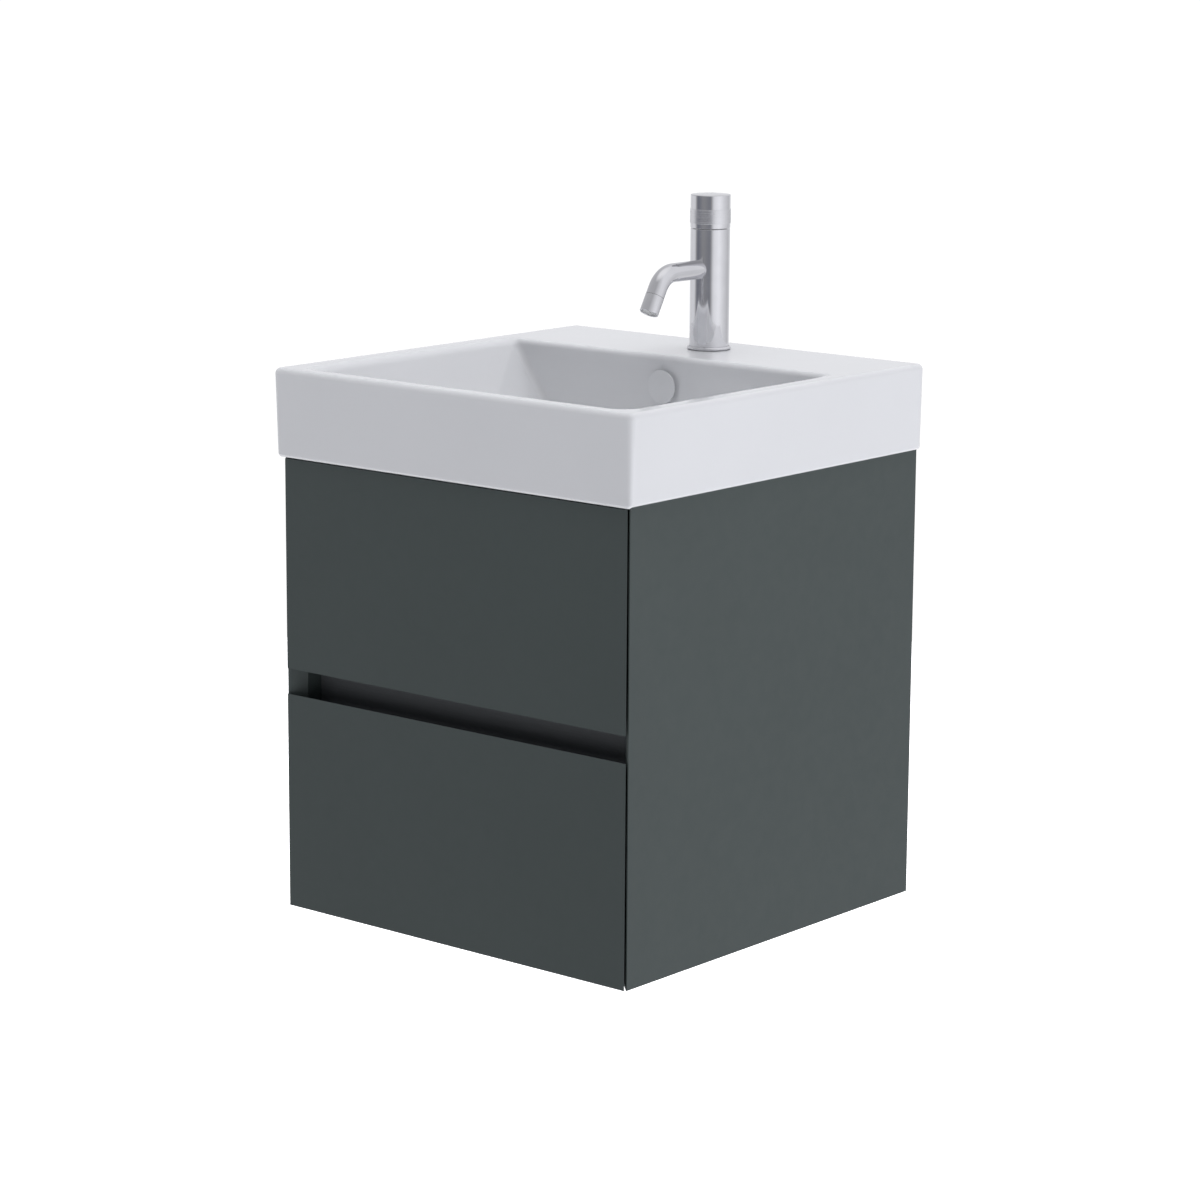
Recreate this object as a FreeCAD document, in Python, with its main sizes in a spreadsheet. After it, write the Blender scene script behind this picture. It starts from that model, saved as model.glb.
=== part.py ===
import FreeCAD, Part

import math
import os
import re

import Sketcher

# A wall-hung bathroom vanity: a lacquered two-drawer cabinet that carries a ceramic basin
# with a single-hole mixer tap, a push-open waste and a bottle trap.
# Frame: millimetres, +Z up, X to the right, the front faces -Y and the wall is the plane Y = 0.
# The origin is on the wall, at mid-width, level with the underside of the cabinet.

SIZES = [
    # how far a cut runs past the face that it opens
    ("past", 1),
    # cabinet
    ("cabinet_width", 481), ("cabinet_depth", 493), ("cabinet_height", 501),
    ("board", 16), ("mitre_flat", 1.5), ("mitre_setback", 2.5), ("front_inset", 1.5),
    ("front_board", 16), ("lower_front_height", 238.7), ("finger_gap", 28.4), ("top_gap", 3),
    ("rail_width", 80), ("rail_behind_front", 2), ("upper_rail_bottom", 302), ("upper_rail_height", 38),
    # aluminium grip profile
    ("grip_recess", 37.5), ("grip_height", 66), ("grip_wall", 1.5), ("grip_radius", 10),
    ("grip_front_clear", 1.5), ("bracket_plate", 2), ("bracket_length", 36), ("bracket_height", 44),
    # dowels and screws
    ("dowel_radius", 4), ("dowel_in_side", 10.5), ("dowel_in_rail", 20.5), ("dowel_clear", 0.05),
    ("screw_radius", 2), ("screw_head_radius", 4), ("screw_head", 2.2), ("screw_bite", 10),
    ("screw_share_low", 0.35), ("screw_share_high", 0.75), ("screw_share_side", 0.7),
    # drawer runners and boxes
    ("runner_front_gap", 3), ("runner_rear_gap", 74), ("runner_height", 45), ("runner_depth", 12.7),
    ("runner_steel", 1.2), ("runner_clear", 0.3), ("runner_tip_gap", 0.5), ("runner_step", 1),
    ("runner_up", 45),
    ("box_board", 12), ("box_rear_gap", 77), ("upper_box_bottom", 291), ("upper_box_height", 130),
    ("lower_box_bottom", 24), ("lower_box_height", 150), ("base_board", 8), ("base_up", 10),
    ("groove", 5), ("groove_clear", 0.1), ("cutout_half", 62), ("cutout_ahead", 55),
    ("surround_wall", 6), ("surround_radius", 22), ("surround_top", 12),
    # hangers
    ("hanger_width", 16), ("hanger_depth", 50), ("hanger_height", 44), ("hanger_top", 492),
    ("hanger_wall_gap", 9), ("hook_plate", 3), ("hook_shank_height", 12), ("hook_shank_depth", 30),
    ("hook_lip", 14), ("lip_steel", 2), ("lip_gap", 0.7), ("plate_steel", 2), ("plate_width", 46),
    ("plate_low", 50), ("plate_step", 22), ("plate_top_clear", 3.7), ("plate_hole", 4),
    ("plate_hole_pitch", 280), ("plate_hole_up", 13),
    # basin
    ("overhang_side", 9.5), ("overhang_front", 7), ("basin_height", 95), ("taper_side", 3),
    ("taper_front", 2), ("corner_radius", 7), ("rim_radius", 6.5), ("base_radius", 4),
    ("rim_side", 28), ("rim_front", 22), ("deck_depth", 142), ("bowl_depth", 80),
    ("bowl_lean_side", 54), ("bowl_lean_front", 24), ("ceramic", 12), ("bowl_corner", 18),
    ("bowl_floor_radius", 14), ("bowl_rim_radius", 10), ("shell_lift", 3),
    ("waste_behind_middle", 20), ("waste_hole", 22.5), ("tap_from_wall", 63.5), ("tap_hole", 17.5),
    ("overflow_down", 34.5), ("overflow_hole", 12), ("overflow_disc", 19), ("overflow_proud", 5.5),
    ("overflow_stem", 11.9), ("overflow_wall", 2), ("fixing_hole", 7), ("fixing_pitch", 280),
    ("fixing_up", 45),
    # waste
    ("flange_radius", 32), ("flange_height", 3), ("waste_radius", 20), ("waste_bore", 17.5),
    ("waste_length", 72), ("spider_up", 12), ("spider_height", 6), ("spider_arm", 5),
    ("spider_bite", 0.5), ("slot_half", 5), ("slot_down", 3), ("slot_height", 7),
    ("plunger_radius", 3.5), ("plunger_clear", 0.1), ("plunger_below", 4), ("cap_radius", 30),
    ("cap_height", 4), ("cap_rest_gap", 0.3), ("gasket_radius", 29), ("gasket_height", 5),
    ("nut_radius", 28), ("nut_height", 10), ("fit_clear", 0.1),
    # bottle trap
    ("pipe_radius", 16), ("pipe_wall", 1.5), ("dip_bottom", 330), ("union_radius", 25),
    ("union_height", 20), ("gland_height", 16), ("gland_radius", 23), ("trap_radius", 33),
    ("trap_wall", 2.5), ("trap_top", 415), ("trap_body_height", 68), ("trap_outlet_z", 378),
    ("trap_branch", 22), ("trap_branch_out", 58), ("trap_socket", 15), ("cup_overlap", 8),
    ("cup_bottom", 302), ("rosette_radius", 34), ("rosette_height", 6),
    # tap body and knob
    ("tap_radius", 22), ("tap_height", 172), ("tap_gasket", 1.5), ("seal_radius", 23), ("seal_lip", 1.7),
    ("ring_radius", 24.8), ("ring_height", 4), ("knob_height", 36.6), ("knob_gap", 0.8),
    ("knob_radius", 22.2), ("knurl_radius", 22.7), ("knurl_slope", 0.4), ("knob_cap", 15.6),
    ("knurl_height", 16.1), ("knob_edge", 0.8), ("knob_roof", 10), ("cartridge_radius", 16.4),
    ("cartridge_depth", 30), ("cartridge_up", 3.5), ("cartridge_nut", 18.2), ("knob_run", 0.4),
    ("spindle_radius", 4), ("spindle_run", 0.1), ("spindle_down", 12), ("spindle_end_gap", 0.3),
    # spout
    ("spout_up", 90.1), ("spout_radius", 10.5), ("spout_bore", 8.5), ("spout_reach", 65.6),
    ("spout_bend", 30), ("spout_turn", 60), ("spout_tail", 10), ("spout_in_body", 5), ("waterway", 5),
    ("aerator_radius", 10.6), ("aerator_length", 20), ("aerator_bore", 8.8), ("aerator_seat", 6),
    ("aerator_throat", 7),
    # tap fixings
    ("stud_radius", 4), ("stud_forward", 9), ("stud_in_body", 14), ("stud_length", 62),
    ("inlet_radius", 5), ("inlet_side", 7.5), ("inlet_back", 5), ("inlet_depth", 15),
    ("clamp_radius", 23), ("clamp_height", 3), ("clamp_slot", 13), ("clamp_slot_ahead", 1),
    ("clamp_nut_radius", 7.5), ("clamp_nut_height", 8),
]

doc = FreeCAD.newDocument("vanity")
sheet = doc.addObject("Spreadsheet::Sheet", "Dim")
for row, (alias, size) in enumerate(SIZES, start=1):
    sheet.set("A%d" % row, alias)
    sheet.set("B%d" % row, str(size))
    sheet.setAlias("B%d" % row, alias)
doc.recompute()

ALIASES = {alias for alias, size in SIZES}
PIECES = {}

# ---------------------------------------------------------------- places worked out from the sizes

HALF = "(cabinet_width / 2)"
INSIDE = "(cabinet_width / 2 - board)"
FRONT = "(-cabinet_depth)"
FRONT_BACK = "(-cabinet_depth + front_board)"
BOX_OUT = "(cabinet_width / 2 - board - runner_depth)"
BOX_IN = "(cabinet_width / 2 - board - runner_depth - box_board)"
BOX_REAR = "(-box_rear_gap)"
RUNNER_LENGTH = "(cabinet_depth - front_board - runner_front_gap - runner_rear_gap)"
BASIN_WIDTH = "(cabinet_width + 2 * overhang_side)"
BASIN_DEPTH = "(cabinet_depth + overhang_front)"
GRIP_MIDDLE = "(lower_front_height + finger_gap / 2)"
GRIP_BACK = "(-cabinet_depth + grip_recess)"
GRIP_FRONT = "(-cabinet_depth + front_board + grip_front_clear)"
BOWL_FLOOR = "(cabinet_height + basin_height - bowl_depth)"
SHELL_BOTTOM = "(cabinet_height + shell_lift)"
DECK = "(cabinet_height + basin_height)"
TAP_BASE = "(cabinet_height + basin_height + tap_gasket)"
KNOB_BOTTOM = "(cabinet_height + basin_height + tap_height - knob_height)"
BODY_TOP = "(cabinet_height + basin_height + tap_height - knob_height - knob_gap)"
SPOUT_Z = "(cabinet_height + basin_height + spout_up)"
WASTE_Y = "(waste_behind_middle - (deck_depth + cabinet_depth + overhang_front - rim_front) / 2)"
WASTE_END = "(cabinet_height + basin_height - bowl_depth - waste_length)"


# ---------------------------------------------------------------- ways of making a piece

def bound(text):
    """The expression with each size name read from the spreadsheet."""
    return re.sub(r"[a-z_]+", lambda word: ("Dim." if word.group() in ALIASES else "") + word.group(), text)


def bind(item, prop, text):
    item.setExpression(prop, bound(text))


def place(item, at):
    for axis, text in zip("xyz", at):
        bind(item, "Placement.Base." + axis, text)


def piece(item, label):
    """Registers an object as one named sub-part of the vanity."""
    item.Label = label
    PIECES[label] = item
    return item


def block(name, x, y, z):
    """A square-edged board or bar between its low and high faces on each axis."""
    item = doc.addObject("Part::Box", name)
    for prop, (low, high) in zip(("Length", "Width", "Height"), (x, y, z)):
        bind(item, prop, "(%s) - (%s)" % (high, low))
    place(item, (x[0], y[0], z[0]))
    return item


TURNS = {
    "x": FreeCAD.Rotation(FreeCAD.Vector(0, 1, 0), 90),
    "y": FreeCAD.Rotation(FreeCAD.Vector(1, 0, 0), -90),
    "z": FreeCAD.Rotation(),
}


def rod(name, radius, length, at, axis="z"):
    """A round bar that starts at a point and runs along a positive axis."""
    item = doc.addObject("Part::Cylinder", name)
    bind(item, "Radius", radius)
    bind(item, "Height", length)
    item.Placement = FreeCAD.Placement(FreeCAD.Vector(), TURNS[axis])
    place(item, at)
    return item


def hexagon(name, radius, height, at):
    item = doc.addObject("Part::Prism", name)
    item.Polygon = 6
    bind(item, "Circumradius", radius)
    bind(item, "Height", height)
    place(item, at)
    return item


def cut(name, base, tool):
    item = doc.addObject("Part::Cut", name)
    item.Base = base
    item.Tool = tool
    return item


def fuse(name, items):
    item = doc.addObject("Part::MultiFuse", name)
    item.Shapes = items
    return item


def group(name, items):
    """Separate solids that share one node."""
    item = doc.addObject("Part::Compound", name)
    item.Links = items
    return item


def side(sign, near, far):
    """The low and high X of something that lies from near to far on one side of the middle."""
    if sign < 0:
        return "-(%s)" % far, "-(%s)" % near
    return near, far


def new_body(name, at=("0", "0", "0")):
    body = doc.addObject("PartDesign::Body", name)
    place(body, at)
    return body


def new_sketch(body, name, plane, offset="0"):
    sketch = body.newObject("Sketcher::SketchObject", name)
    for feature in body.Origin.OriginFeatures:
        if feature.Role == plane:
            sketch.AttachmentSupport = [(feature, "")]
    sketch.MapMode = "FlatFace"
    bind(sketch, "AttachmentOffset.Base.z", offset)
    return sketch


def hold_point(sketch, edge, point, x, y):
    """Ties a point of the sketch to its two distances from the sketch's origin."""
    for kind, text in (("DistanceX", x), ("DistanceY", y)):
        number = sketch.addConstraint(Sketcher.Constraint(kind, -1, 1, edge, point, 1.0))
        bind(sketch, "Constraints[%d]" % number, text)


def outline(body, name, plane, points, offset="0"):
    """A closed outline of straight runs, each corner held by two distances."""
    sketch = new_sketch(body, name, plane, offset)
    count = len(points)
    ring = []
    for step in range(count):
        turn = 2 * math.pi * step / count
        ring.append(FreeCAD.Vector(10 * math.cos(turn), 10 * math.sin(turn), 0))
    for step in range(count):
        sketch.addGeometry(Part.LineSegment(ring[step], ring[(step + 1) % count]), False)
    for step in range(count):
        sketch.addConstraint(Sketcher.Constraint("Coincident", step, 2, (step + 1) % count, 1))
    for step, (x, y) in enumerate(points):
        hold_point(sketch, step, 1, x, y)
    return sketch


def circles(body, name, plane, centres, radius, offset="0"):
    sketch = new_sketch(body, name, plane, offset)
    for number, (x, y) in enumerate(centres):
        sketch.addGeometry(Part.Circle(FreeCAD.Vector(), FreeCAD.Vector(0, 0, 1), 5), False)
        hold_point(sketch, number, 3, x, y)
        place_in_list = sketch.addConstraint(Sketcher.Constraint("Radius", number, 5.0))
        bind(sketch, "Constraints[%d]" % place_in_list, radius)
    return sketch


def pad(body, name, sketch, length):
    item = body.newObject("PartDesign::Pad", name)
    item.Profile = sketch
    bind(item, "Length", length)
    return item


def pocket(body, name, sketch, length, reverse=False):
    item = body.newObject("PartDesign::Pocket", name)
    item.Profile = sketch
    item.Reversed = reverse
    bind(item, "Length", length)
    return item


def wedge(body, kind, name, heights, lower, upper):
    """A flat-sided block that tapers: each end has a half width, a front and a back distance."""
    item = body.newObject("PartDesign::" + kind, name)
    lying = FreeCAD.Rotation(FreeCAD.Vector(1, 0, 0), 90)
    item.Placement = FreeCAD.Placement(FreeCAD.Vector(), lying)
    for prop, text in zip(("Ymin", "Ymax"), heights):
        bind(item, prop, text)
    for tag, (half, front, back) in (("", lower), ("2", upper)):
        bind(item, "X%smin" % tag, "-(%s)" % half)
        bind(item, "X%smax" % tag, half)
        bind(item, "Z%smin" % tag, back)
        bind(item, "Z%smax" % tag, front)
    return item


def edge_names(item, wanted):
    doc.recompute()
    edges = item.Shape.Edges
    return ["Edge%d" % (number + 1) for number, edge in enumerate(edges) if wanted(edge)]


def soften(body, name, item, radius, wanted):
    """Rounds the edges of the last feature that pass the test."""
    names = edge_names(item, wanted)
    fillet = body.newObject("PartDesign::Fillet", name)
    fillet.Base = (item, names)
    bind(fillet, "Radius", radius)
    return fillet


def prism(name, plane, points, length, at=("0", "0", "0")):
    """An extruded outline with its own sketch."""
    body = new_body(name, at)
    pad(body, name + "_pad", outline(body, name + "_outline", plane, points), length)
    return body


def turned(name, points, at=("0", "0", "0")):
    """A turned piece: points are radius and height, and the axis is vertical."""
    body = new_body(name, at)
    sketch = outline(body, name + "_outline", "XZ_Plane", points)
    item = body.newObject("PartDesign::Revolution", name + "_turned")
    item.Profile = sketch
    item.ReferenceAxis = (sketch, ["V_Axis"])
    item.Angle = 360
    return body


def is_upright(edge):
    return abs(edge.tangentAt(edge.FirstParameter).z) > 0.9


def is_level_at(edge, height):
    return abs(edge.BoundBox.ZMin - height) < 0.01 and abs(edge.BoundBox.ZMax - height) < 0.01


def size_of(alias):
    return float(sheet.get(alias))


# ---------------------------------------------------------------- cabinet

def dowel_places():
    """Y and Z of each dowel between a side panel and what it carries."""
    top = "cabinet_height - board / 2"
    along_bottom = ("0.1", "0.5", "0.9")
    along_top_rail = ("0.2", "0.8")
    up_back_rail = ("0.25", "0.75")
    places = [("-%s * cabinet_depth" % share, "board / 2") for share in along_bottom]
    places += [("%s + board + rail_width * %s" % (FRONT, share), top) for share in along_top_rail]
    places += [("-board / 2", "board + rail_width * %s" % share) for share in up_back_rail]
    for share in up_back_rail:
        places.append(("-board / 2", "upper_rail_bottom + upper_rail_height * %s" % share))
    return places


def make_dowels():
    """Beech dowels, and the slightly wider holes that they are glued into."""
    dowels = []
    holes = []
    for sign in (-1, 1):
        x = side(sign, INSIDE + " - dowel_in_rail", INSIDE + " + dowel_in_side")[0]
        for number, (y, z) in enumerate(dowel_places()):
            tag = "%s_%d" % ("left" if sign < 0 else "right", number)
            length = "dowel_in_rail + dowel_in_side"
            dowels.append(rod("dowel_" + tag, "dowel_radius", length, (x, y, z), "x"))
            start = (x + " - dowel_clear", y, z)
            holes.append(rod("hole_" + tag, "dowel_radius + dowel_clear", length + " + 2 * dowel_clear",
                             start, "x"))
    piece(group("carcase_dowels", dowels), "carcase_dowels")
    return group("dowel_holes", holes)


def make_carcase():
    holes = make_dowels()
    tip = "(-cabinet_depth + mitre_setback)"
    for sign, label in ((-1, "side_panel_left"), (1, "side_panel_right")):
        outer = "%d * %s" % (sign, HALF)
        inner = "%d * %s" % (sign, INSIDE)
        flat = "%d * (%s - mitre_flat)" % (sign, HALF)
        corner = tip + " + board - mitre_flat"
        points = [(outer, "0"), (outer, tip), (flat, tip), (inner, corner), (inner, "0")]
        blank = prism(label + "_blank", "XY_Plane", points, "cabinet_height")
        piece(cut(label, blank, holes), label)
    across = ("-" + INSIDE, INSIDE)
    behind_front = FRONT_BACK + " + rail_behind_front"
    boards = {
        "bottom_panel": (across, (behind_front, "0"), ("0", "board")),
        "front_top_rail": (across, (behind_front, behind_front + " + rail_width"),
                           ("cabinet_height - board", "cabinet_height")),
        "back_rail_lower": (across, ("-board", "0"), ("board", "board + rail_width")),
        "back_rail_upper": (across, ("-board", "0"),
                            ("upper_rail_bottom", "upper_rail_bottom + upper_rail_height")),
    }
    for label, (x, y, z) in boards.items():
        piece(cut(label, block(label + "_blank", x, y, z), holes), label)


def make_grip():
    """The C-shaped aluminium channel behind the finger gap, and the two angles that carry it."""
    low = GRIP_MIDDLE + " - grip_height / 2"
    high = GRIP_MIDDLE + " + grip_height / 2"
    rear = GRIP_BACK + " + grip_wall"
    points = [(GRIP_FRONT, low), (rear, low), (rear, high), (GRIP_FRONT, high),
              (GRIP_FRONT, high + " - grip_wall"), (GRIP_BACK, high + " - grip_wall"),
              (GRIP_BACK, low + " + grip_wall"), (GRIP_FRONT, low + " + grip_wall")]
    body = new_body("grip_profile", ("-" + INSIDE, "0", "0"))
    sketch = outline(body, "grip_outline", "YZ_Plane", points)
    channel = pad(body, "grip_pad", sketch, "2 * " + INSIDE)
    doc.recompute()
    back = body.Shape.BoundBox.YMax
    wall = size_of("grip_wall")

    def at_back(edge, y):
        return abs(edge.BoundBox.YMin - y) < 0.01 and abs(edge.BoundBox.YMax - y) < 0.01

    def outer(edge):
        return edge.BoundBox.XLength > 1 and at_back(edge, back)

    def inner(edge):
        return edge.BoundBox.XLength > 1 and at_back(edge, back - wall)

    rounded = soften(body, "grip_outer_round", channel, "grip_radius + grip_wall", outer)
    soften(body, "grip_inner_round", rounded, "grip_radius", inner)
    piece(body, "grip_profile")

    angles = []
    for sign in (-1, 1):
        half = "bracket_height / 2"
        z = (GRIP_MIDDLE + " - " + half, GRIP_MIDDLE + " + " + half)
        name = "grip_bracket_left" if sign < 0 else "grip_bracket_right"
        plate = block(name + "_plate", side(sign, INSIDE + " - bracket_plate", INSIDE),
                      (rear, rear + " + bracket_length"), z)
        flange = block(name + "_flange", side(sign, INSIDE + " - bracket_length / 2", INSIDE),
                       (rear, rear + " + bracket_plate"), z)
        angles.append(fuse(name, [plate, flange]))
    piece(group("grip_brackets", angles), "grip_brackets")


def make_hangers():
    """Adjustable cabinet hangers: a steel body on each side panel, a hook, and the plate on the wall."""
    bodies = []
    hooks = []
    plates = []
    plate_top = "hanger_top - plate_top_clear"
    plate_back = "-(2 * plate_steel)"
    for sign in (-1, 1):
        name = "left" if sign < 0 else "right"
        bodies.append(block("hanger_" + name, side(sign, INSIDE + " - hanger_width", INSIDE),
                            ("-hanger_wall_gap - hanger_depth", "-hanger_wall_gap"),
                            ("hanger_top - hanger_height", "hanger_top")))
        shank_low = "hanger_top - hook_shank_height"
        shank_front = "-hanger_wall_gap - hook_shank_depth"
        lip_front = "-(2 * plate_steel - lip_gap)"
        lip_back = lip_front + " + lip_steel"
        points = [(shank_front, shank_low), ("-hanger_wall_gap", shank_low),
                  ("-hanger_wall_gap", "hanger_top - hook_plate"), (lip_front, "hanger_top - hook_plate"),
                  (lip_front, plate_top + " - hook_lip"), (lip_back, plate_top + " - hook_lip"),
                  (lip_back, "hanger_top"), (shank_front, "hanger_top")]
        x = side(sign, INSIDE + " - hanger_width - hook_plate", INSIDE + " - hanger_width")
        hooks.append(prism("hook_" + name, "YZ_Plane", points, "hook_plate", (x[0], "0", "0")))
        step = plate_top + " - plate_step"
        points = [("0", plate_top + " - plate_low"), ("0", step), (plate_back, step),
                  (plate_back, plate_top), ("%s - plate_steel" % plate_back, plate_top),
                  ("%s - plate_steel" % plate_back, step + " - plate_steel"),
                  ("-plate_steel", step + " - plate_steel"), ("-plate_steel", plate_top + " - plate_low")]
        near = "plate_hole_pitch / 2 - plate_width / 2"
        far = INSIDE + " - hanger_width / 2"
        x = side(sign, near, far)
        blank = prism("plate_blank_" + name, "YZ_Plane", points, "%s - (%s)" % (far, near), (x[0], "0", "0"))
        centre = ("%d * plate_hole_pitch / 2" % sign, "-2 * plate_steel",
                  plate_top + " - plate_low + plate_hole_up")
        hole = rod("plate_hole_" + name, "plate_hole", "4 * plate_steel", centre, "y")
        plates.append(cut("plate_" + name, blank, hole))
    piece(group("cabinet_hangers", bodies), "cabinet_hangers")
    piece(group("hanger_hooks", hooks), "hanger_hooks")
    piece(group("wall_plates", plates), "wall_plates")


# ---------------------------------------------------------------- basin

def rectangle(x_half, y_front, y_back):
    return [("-(%s)" % x_half, y_front), (x_half, y_front), (x_half, y_back), ("-(%s)" % x_half, y_back)]


def make_basin():
    """One ceramic casting: a tapered block with a bowl, hollow below, with its holes."""
    body = new_body("basin", ("0", "0", "cabinet_height"))
    half = BASIN_WIDTH + " / 2"
    casting = wedge(body, "AdditiveWedge", "casting", ("0", "basin_height"),
                    (half + " - taper_side", BASIN_DEPTH + " - taper_front", "0"), (half, BASIN_DEPTH, "0"))
    doc.recompute()
    box = casting.Shape.BoundBox
    corners = soften(body, "outer_corners", casting, "corner_radius",
                     lambda edge: is_upright(edge) and edge.BoundBox.YMin < -10)
    rim = soften(body, "outer_rim", corners, "rim_radius", lambda edge: is_level_at(edge, box.ZMax))
    soften(body, "outer_foot", rim, "base_radius",
           lambda edge: is_level_at(edge, box.ZMin) and edge.BoundBox.YMin < -10)

    inner_half = half + " - taper_side - ceramic"
    hollow = rectangle(inner_half, "-%s + taper_front + ceramic" % BASIN_DEPTH, "-ceramic")
    hollow_outline = outline(body, "hollow_outline", "XY_Plane", hollow)
    pocket(body, "hollow", hollow_outline, "basin_height - ceramic", True)

    opening_half = half + " - rim_side"
    front = BASIN_DEPTH + " - rim_front"
    floor_half = opening_half + " - bowl_lean_side"
    floor_front = front + " - bowl_lean_front"
    wedge(body, "AdditiveWedge", "bowl_shell", ("shell_lift", "basin_height - ceramic / 2"),
          (floor_half + " + ceramic", floor_front + " + ceramic", "deck_depth - ceramic"),
          (opening_half + " + ceramic", front + " + ceramic", "deck_depth - ceramic"))
    bowl = wedge(body, "SubtractiveWedge", "bowl", ("basin_height - bowl_depth", "basin_height"),
                 (floor_half, floor_front, "deck_depth"), (opening_half, front, "deck_depth"))

    doc.recompute()
    height = size_of("basin_height")
    depth = size_of("bowl_depth")
    deck = size_of("deck_depth")

    def is_bowl_corner(edge):
        edge_box = edge.BoundBox
        return (abs(edge_box.ZMin - height + depth) < 0.01 and abs(edge_box.ZMax - height) < 0.01
                and edge_box.YMax < -deck + 0.01)

    corners = soften(body, "bowl_corners", bowl, "bowl_corner", is_bowl_corner)
    round_floor = soften(body, "bowl_floor_round", corners, "bowl_floor_radius",
                         lambda edge: is_level_at(edge, height - depth))
    outer = size_of("rim_radius") + 3

    def is_bowl_rim(edge):
        edge_box = edge.BoundBox
        return (is_level_at(edge, height) and edge_box.YMax < -deck + 0.01
                and edge_box.YMin > box.YMin + outer and abs(edge_box.XMin) < box.XMax - outer)

    soften(body, "bowl_rim_round", round_floor, "bowl_rim_radius", is_bowl_rim)
    waste = circles(body, "waste_circle", "XY_Plane", [("0", WASTE_Y)], "waste_hole")
    pocket(body, "waste_cut", waste, "basin_height", True)
    tap = circles(body, "tap_circle", "XY_Plane", [("0", "-tap_from_wall")], "tap_hole")
    pocket(body, "tap_cut", tap, "basin_height + past", True)
    overflow = circles(body, "overflow_circle", "XZ_Plane", [("0", "basin_height - overflow_down")],
                       "overflow_hole", "deck_depth - ceramic - past")
    pocket(body, "overflow_cut", overflow, "ceramic + 2 * past", True)
    fixing = circles(body, "fixing_circles", "XZ_Plane",
                     [("-fixing_pitch / 2", "fixing_up"), ("fixing_pitch / 2", "fixing_up")], "fixing_hole")
    pocket(body, "fixing_cut", fixing, "ceramic + past", True)
    piece(body, "basin")


def make_overflow():
    """Round push-in cover of the overflow, the colour of the ceramic."""
    face = "-(deck_depth)"
    disc = rod("overflow_disc_blank", "overflow_disc", "overflow_proud",
               ("0", face + " - overflow_proud", DECK + " - overflow_down"), "y")
    stem = rod("overflow_stem_blank", "overflow_stem", "ceramic",
               ("0", face, DECK + " - overflow_down"), "y")
    bore = rod("overflow_bore", "overflow_stem - overflow_wall", "ceramic + past",
               ("0", face + " + overflow_wall / 2", DECK + " - overflow_down"), "y")
    whole = fuse("overflow_whole", [disc, stem])
    piece(cut("overflow_cover", whole, bore), "overflow_cover")


# ---------------------------------------------------------------- waste and trap

def tube(label, radius, bore, at, length, axis="z"):
    """A round bar with a bore right through it."""
    outer = rod(label + "_outer", radius, length, at, axis)
    start = tuple("%s - past" % text if axis == along else text for along, text in zip("xyz", at))
    inner = rod(label + "_inner", bore, "(%s) + 2 * past" % length, start, axis)
    return cut(label, outer, inner)


def make_waste():
    """Push-open waste, clamped through the bowl's floor."""
    at = ("0", WASTE_Y, BOWL_FLOOR)
    flange = tube("waste_flange", "flange_radius", "waste_radius + fit_clear", at, "flange_height")
    piece(flange, "waste_flange")

    shell = tube("waste_shell", "waste_radius", "waste_bore", ("0", WASTE_Y, WASTE_END),
                 "waste_length + flange_height")
    arms = []
    spider_z = (WASTE_END + " + spider_up", WASTE_END + " + spider_up + spider_height")
    for name, x, y in (("spider_x", "waste_bore + spider_bite", "spider_arm / 2"),
                       ("spider_y", "spider_arm / 2", "waste_bore + spider_bite")):
        arms.append(block(name, ("-(%s)" % x, x),
                          ("%s - (%s)" % (WASTE_Y, y), "%s + (%s)" % (WASTE_Y, y)), spider_z))
    hub = rod("spider_hub", "2 * plunger_radius", "spider_height", ("0", WASTE_Y, spider_z[0]))
    guide = rod("spider_guide", "plunger_radius + plunger_clear", "spider_height + 2 * past",
                ("0", WASTE_Y, spider_z[0] + " - past"))
    solid = fuse("waste_solid", [shell] + arms + [hub])
    slots = []
    for name, x, y in (("slot_x", "waste_radius + past", "slot_half"),
                       ("slot_y", "slot_half", "waste_radius + past")):
        slots.append(block(name, ("-(%s)" % x, x), ("%s - (%s)" % (WASTE_Y, y), "%s + (%s)" % (WASTE_Y, y)),
                           (BOWL_FLOOR + " - slot_down - slot_height", BOWL_FLOOR + " - slot_down")))
    piece(cut("waste_body", solid, group("waste_cuts", slots + [guide])), "waste_body")

    seat = ("0", WASTE_Y, SHELL_BOTTOM + " - gasket_height")
    piece(tube("waste_gasket", "gasket_radius", "waste_radius + fit_clear", seat, "gasket_height"),
          "waste_gasket")
    nut_z = SHELL_BOTTOM + " - gasket_height - nut_height"
    nut = hexagon("waste_nut_blank", "nut_radius", "nut_height", ("0", WASTE_Y, nut_z))
    nut_bore = rod("waste_nut_bore", "waste_radius + fit_clear", "nut_height + 2 * past",
                   ("0", WASTE_Y, nut_z + " - past"))
    piece(cut("waste_nut", nut, nut_bore), "waste_nut")

    cap_z = BOWL_FLOOR + " + flange_height + cap_rest_gap"
    piece(rod("waste_cap", "cap_radius", "cap_height", ("0", WASTE_Y, cap_z)), "waste_cap")
    low = spider_z[0] + " - plunger_below"
    piece(rod("waste_plunger", "plunger_radius", "%s - (%s)" % (cap_z, low), ("0", WASTE_Y, low)),
          "waste_plunger")


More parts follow.
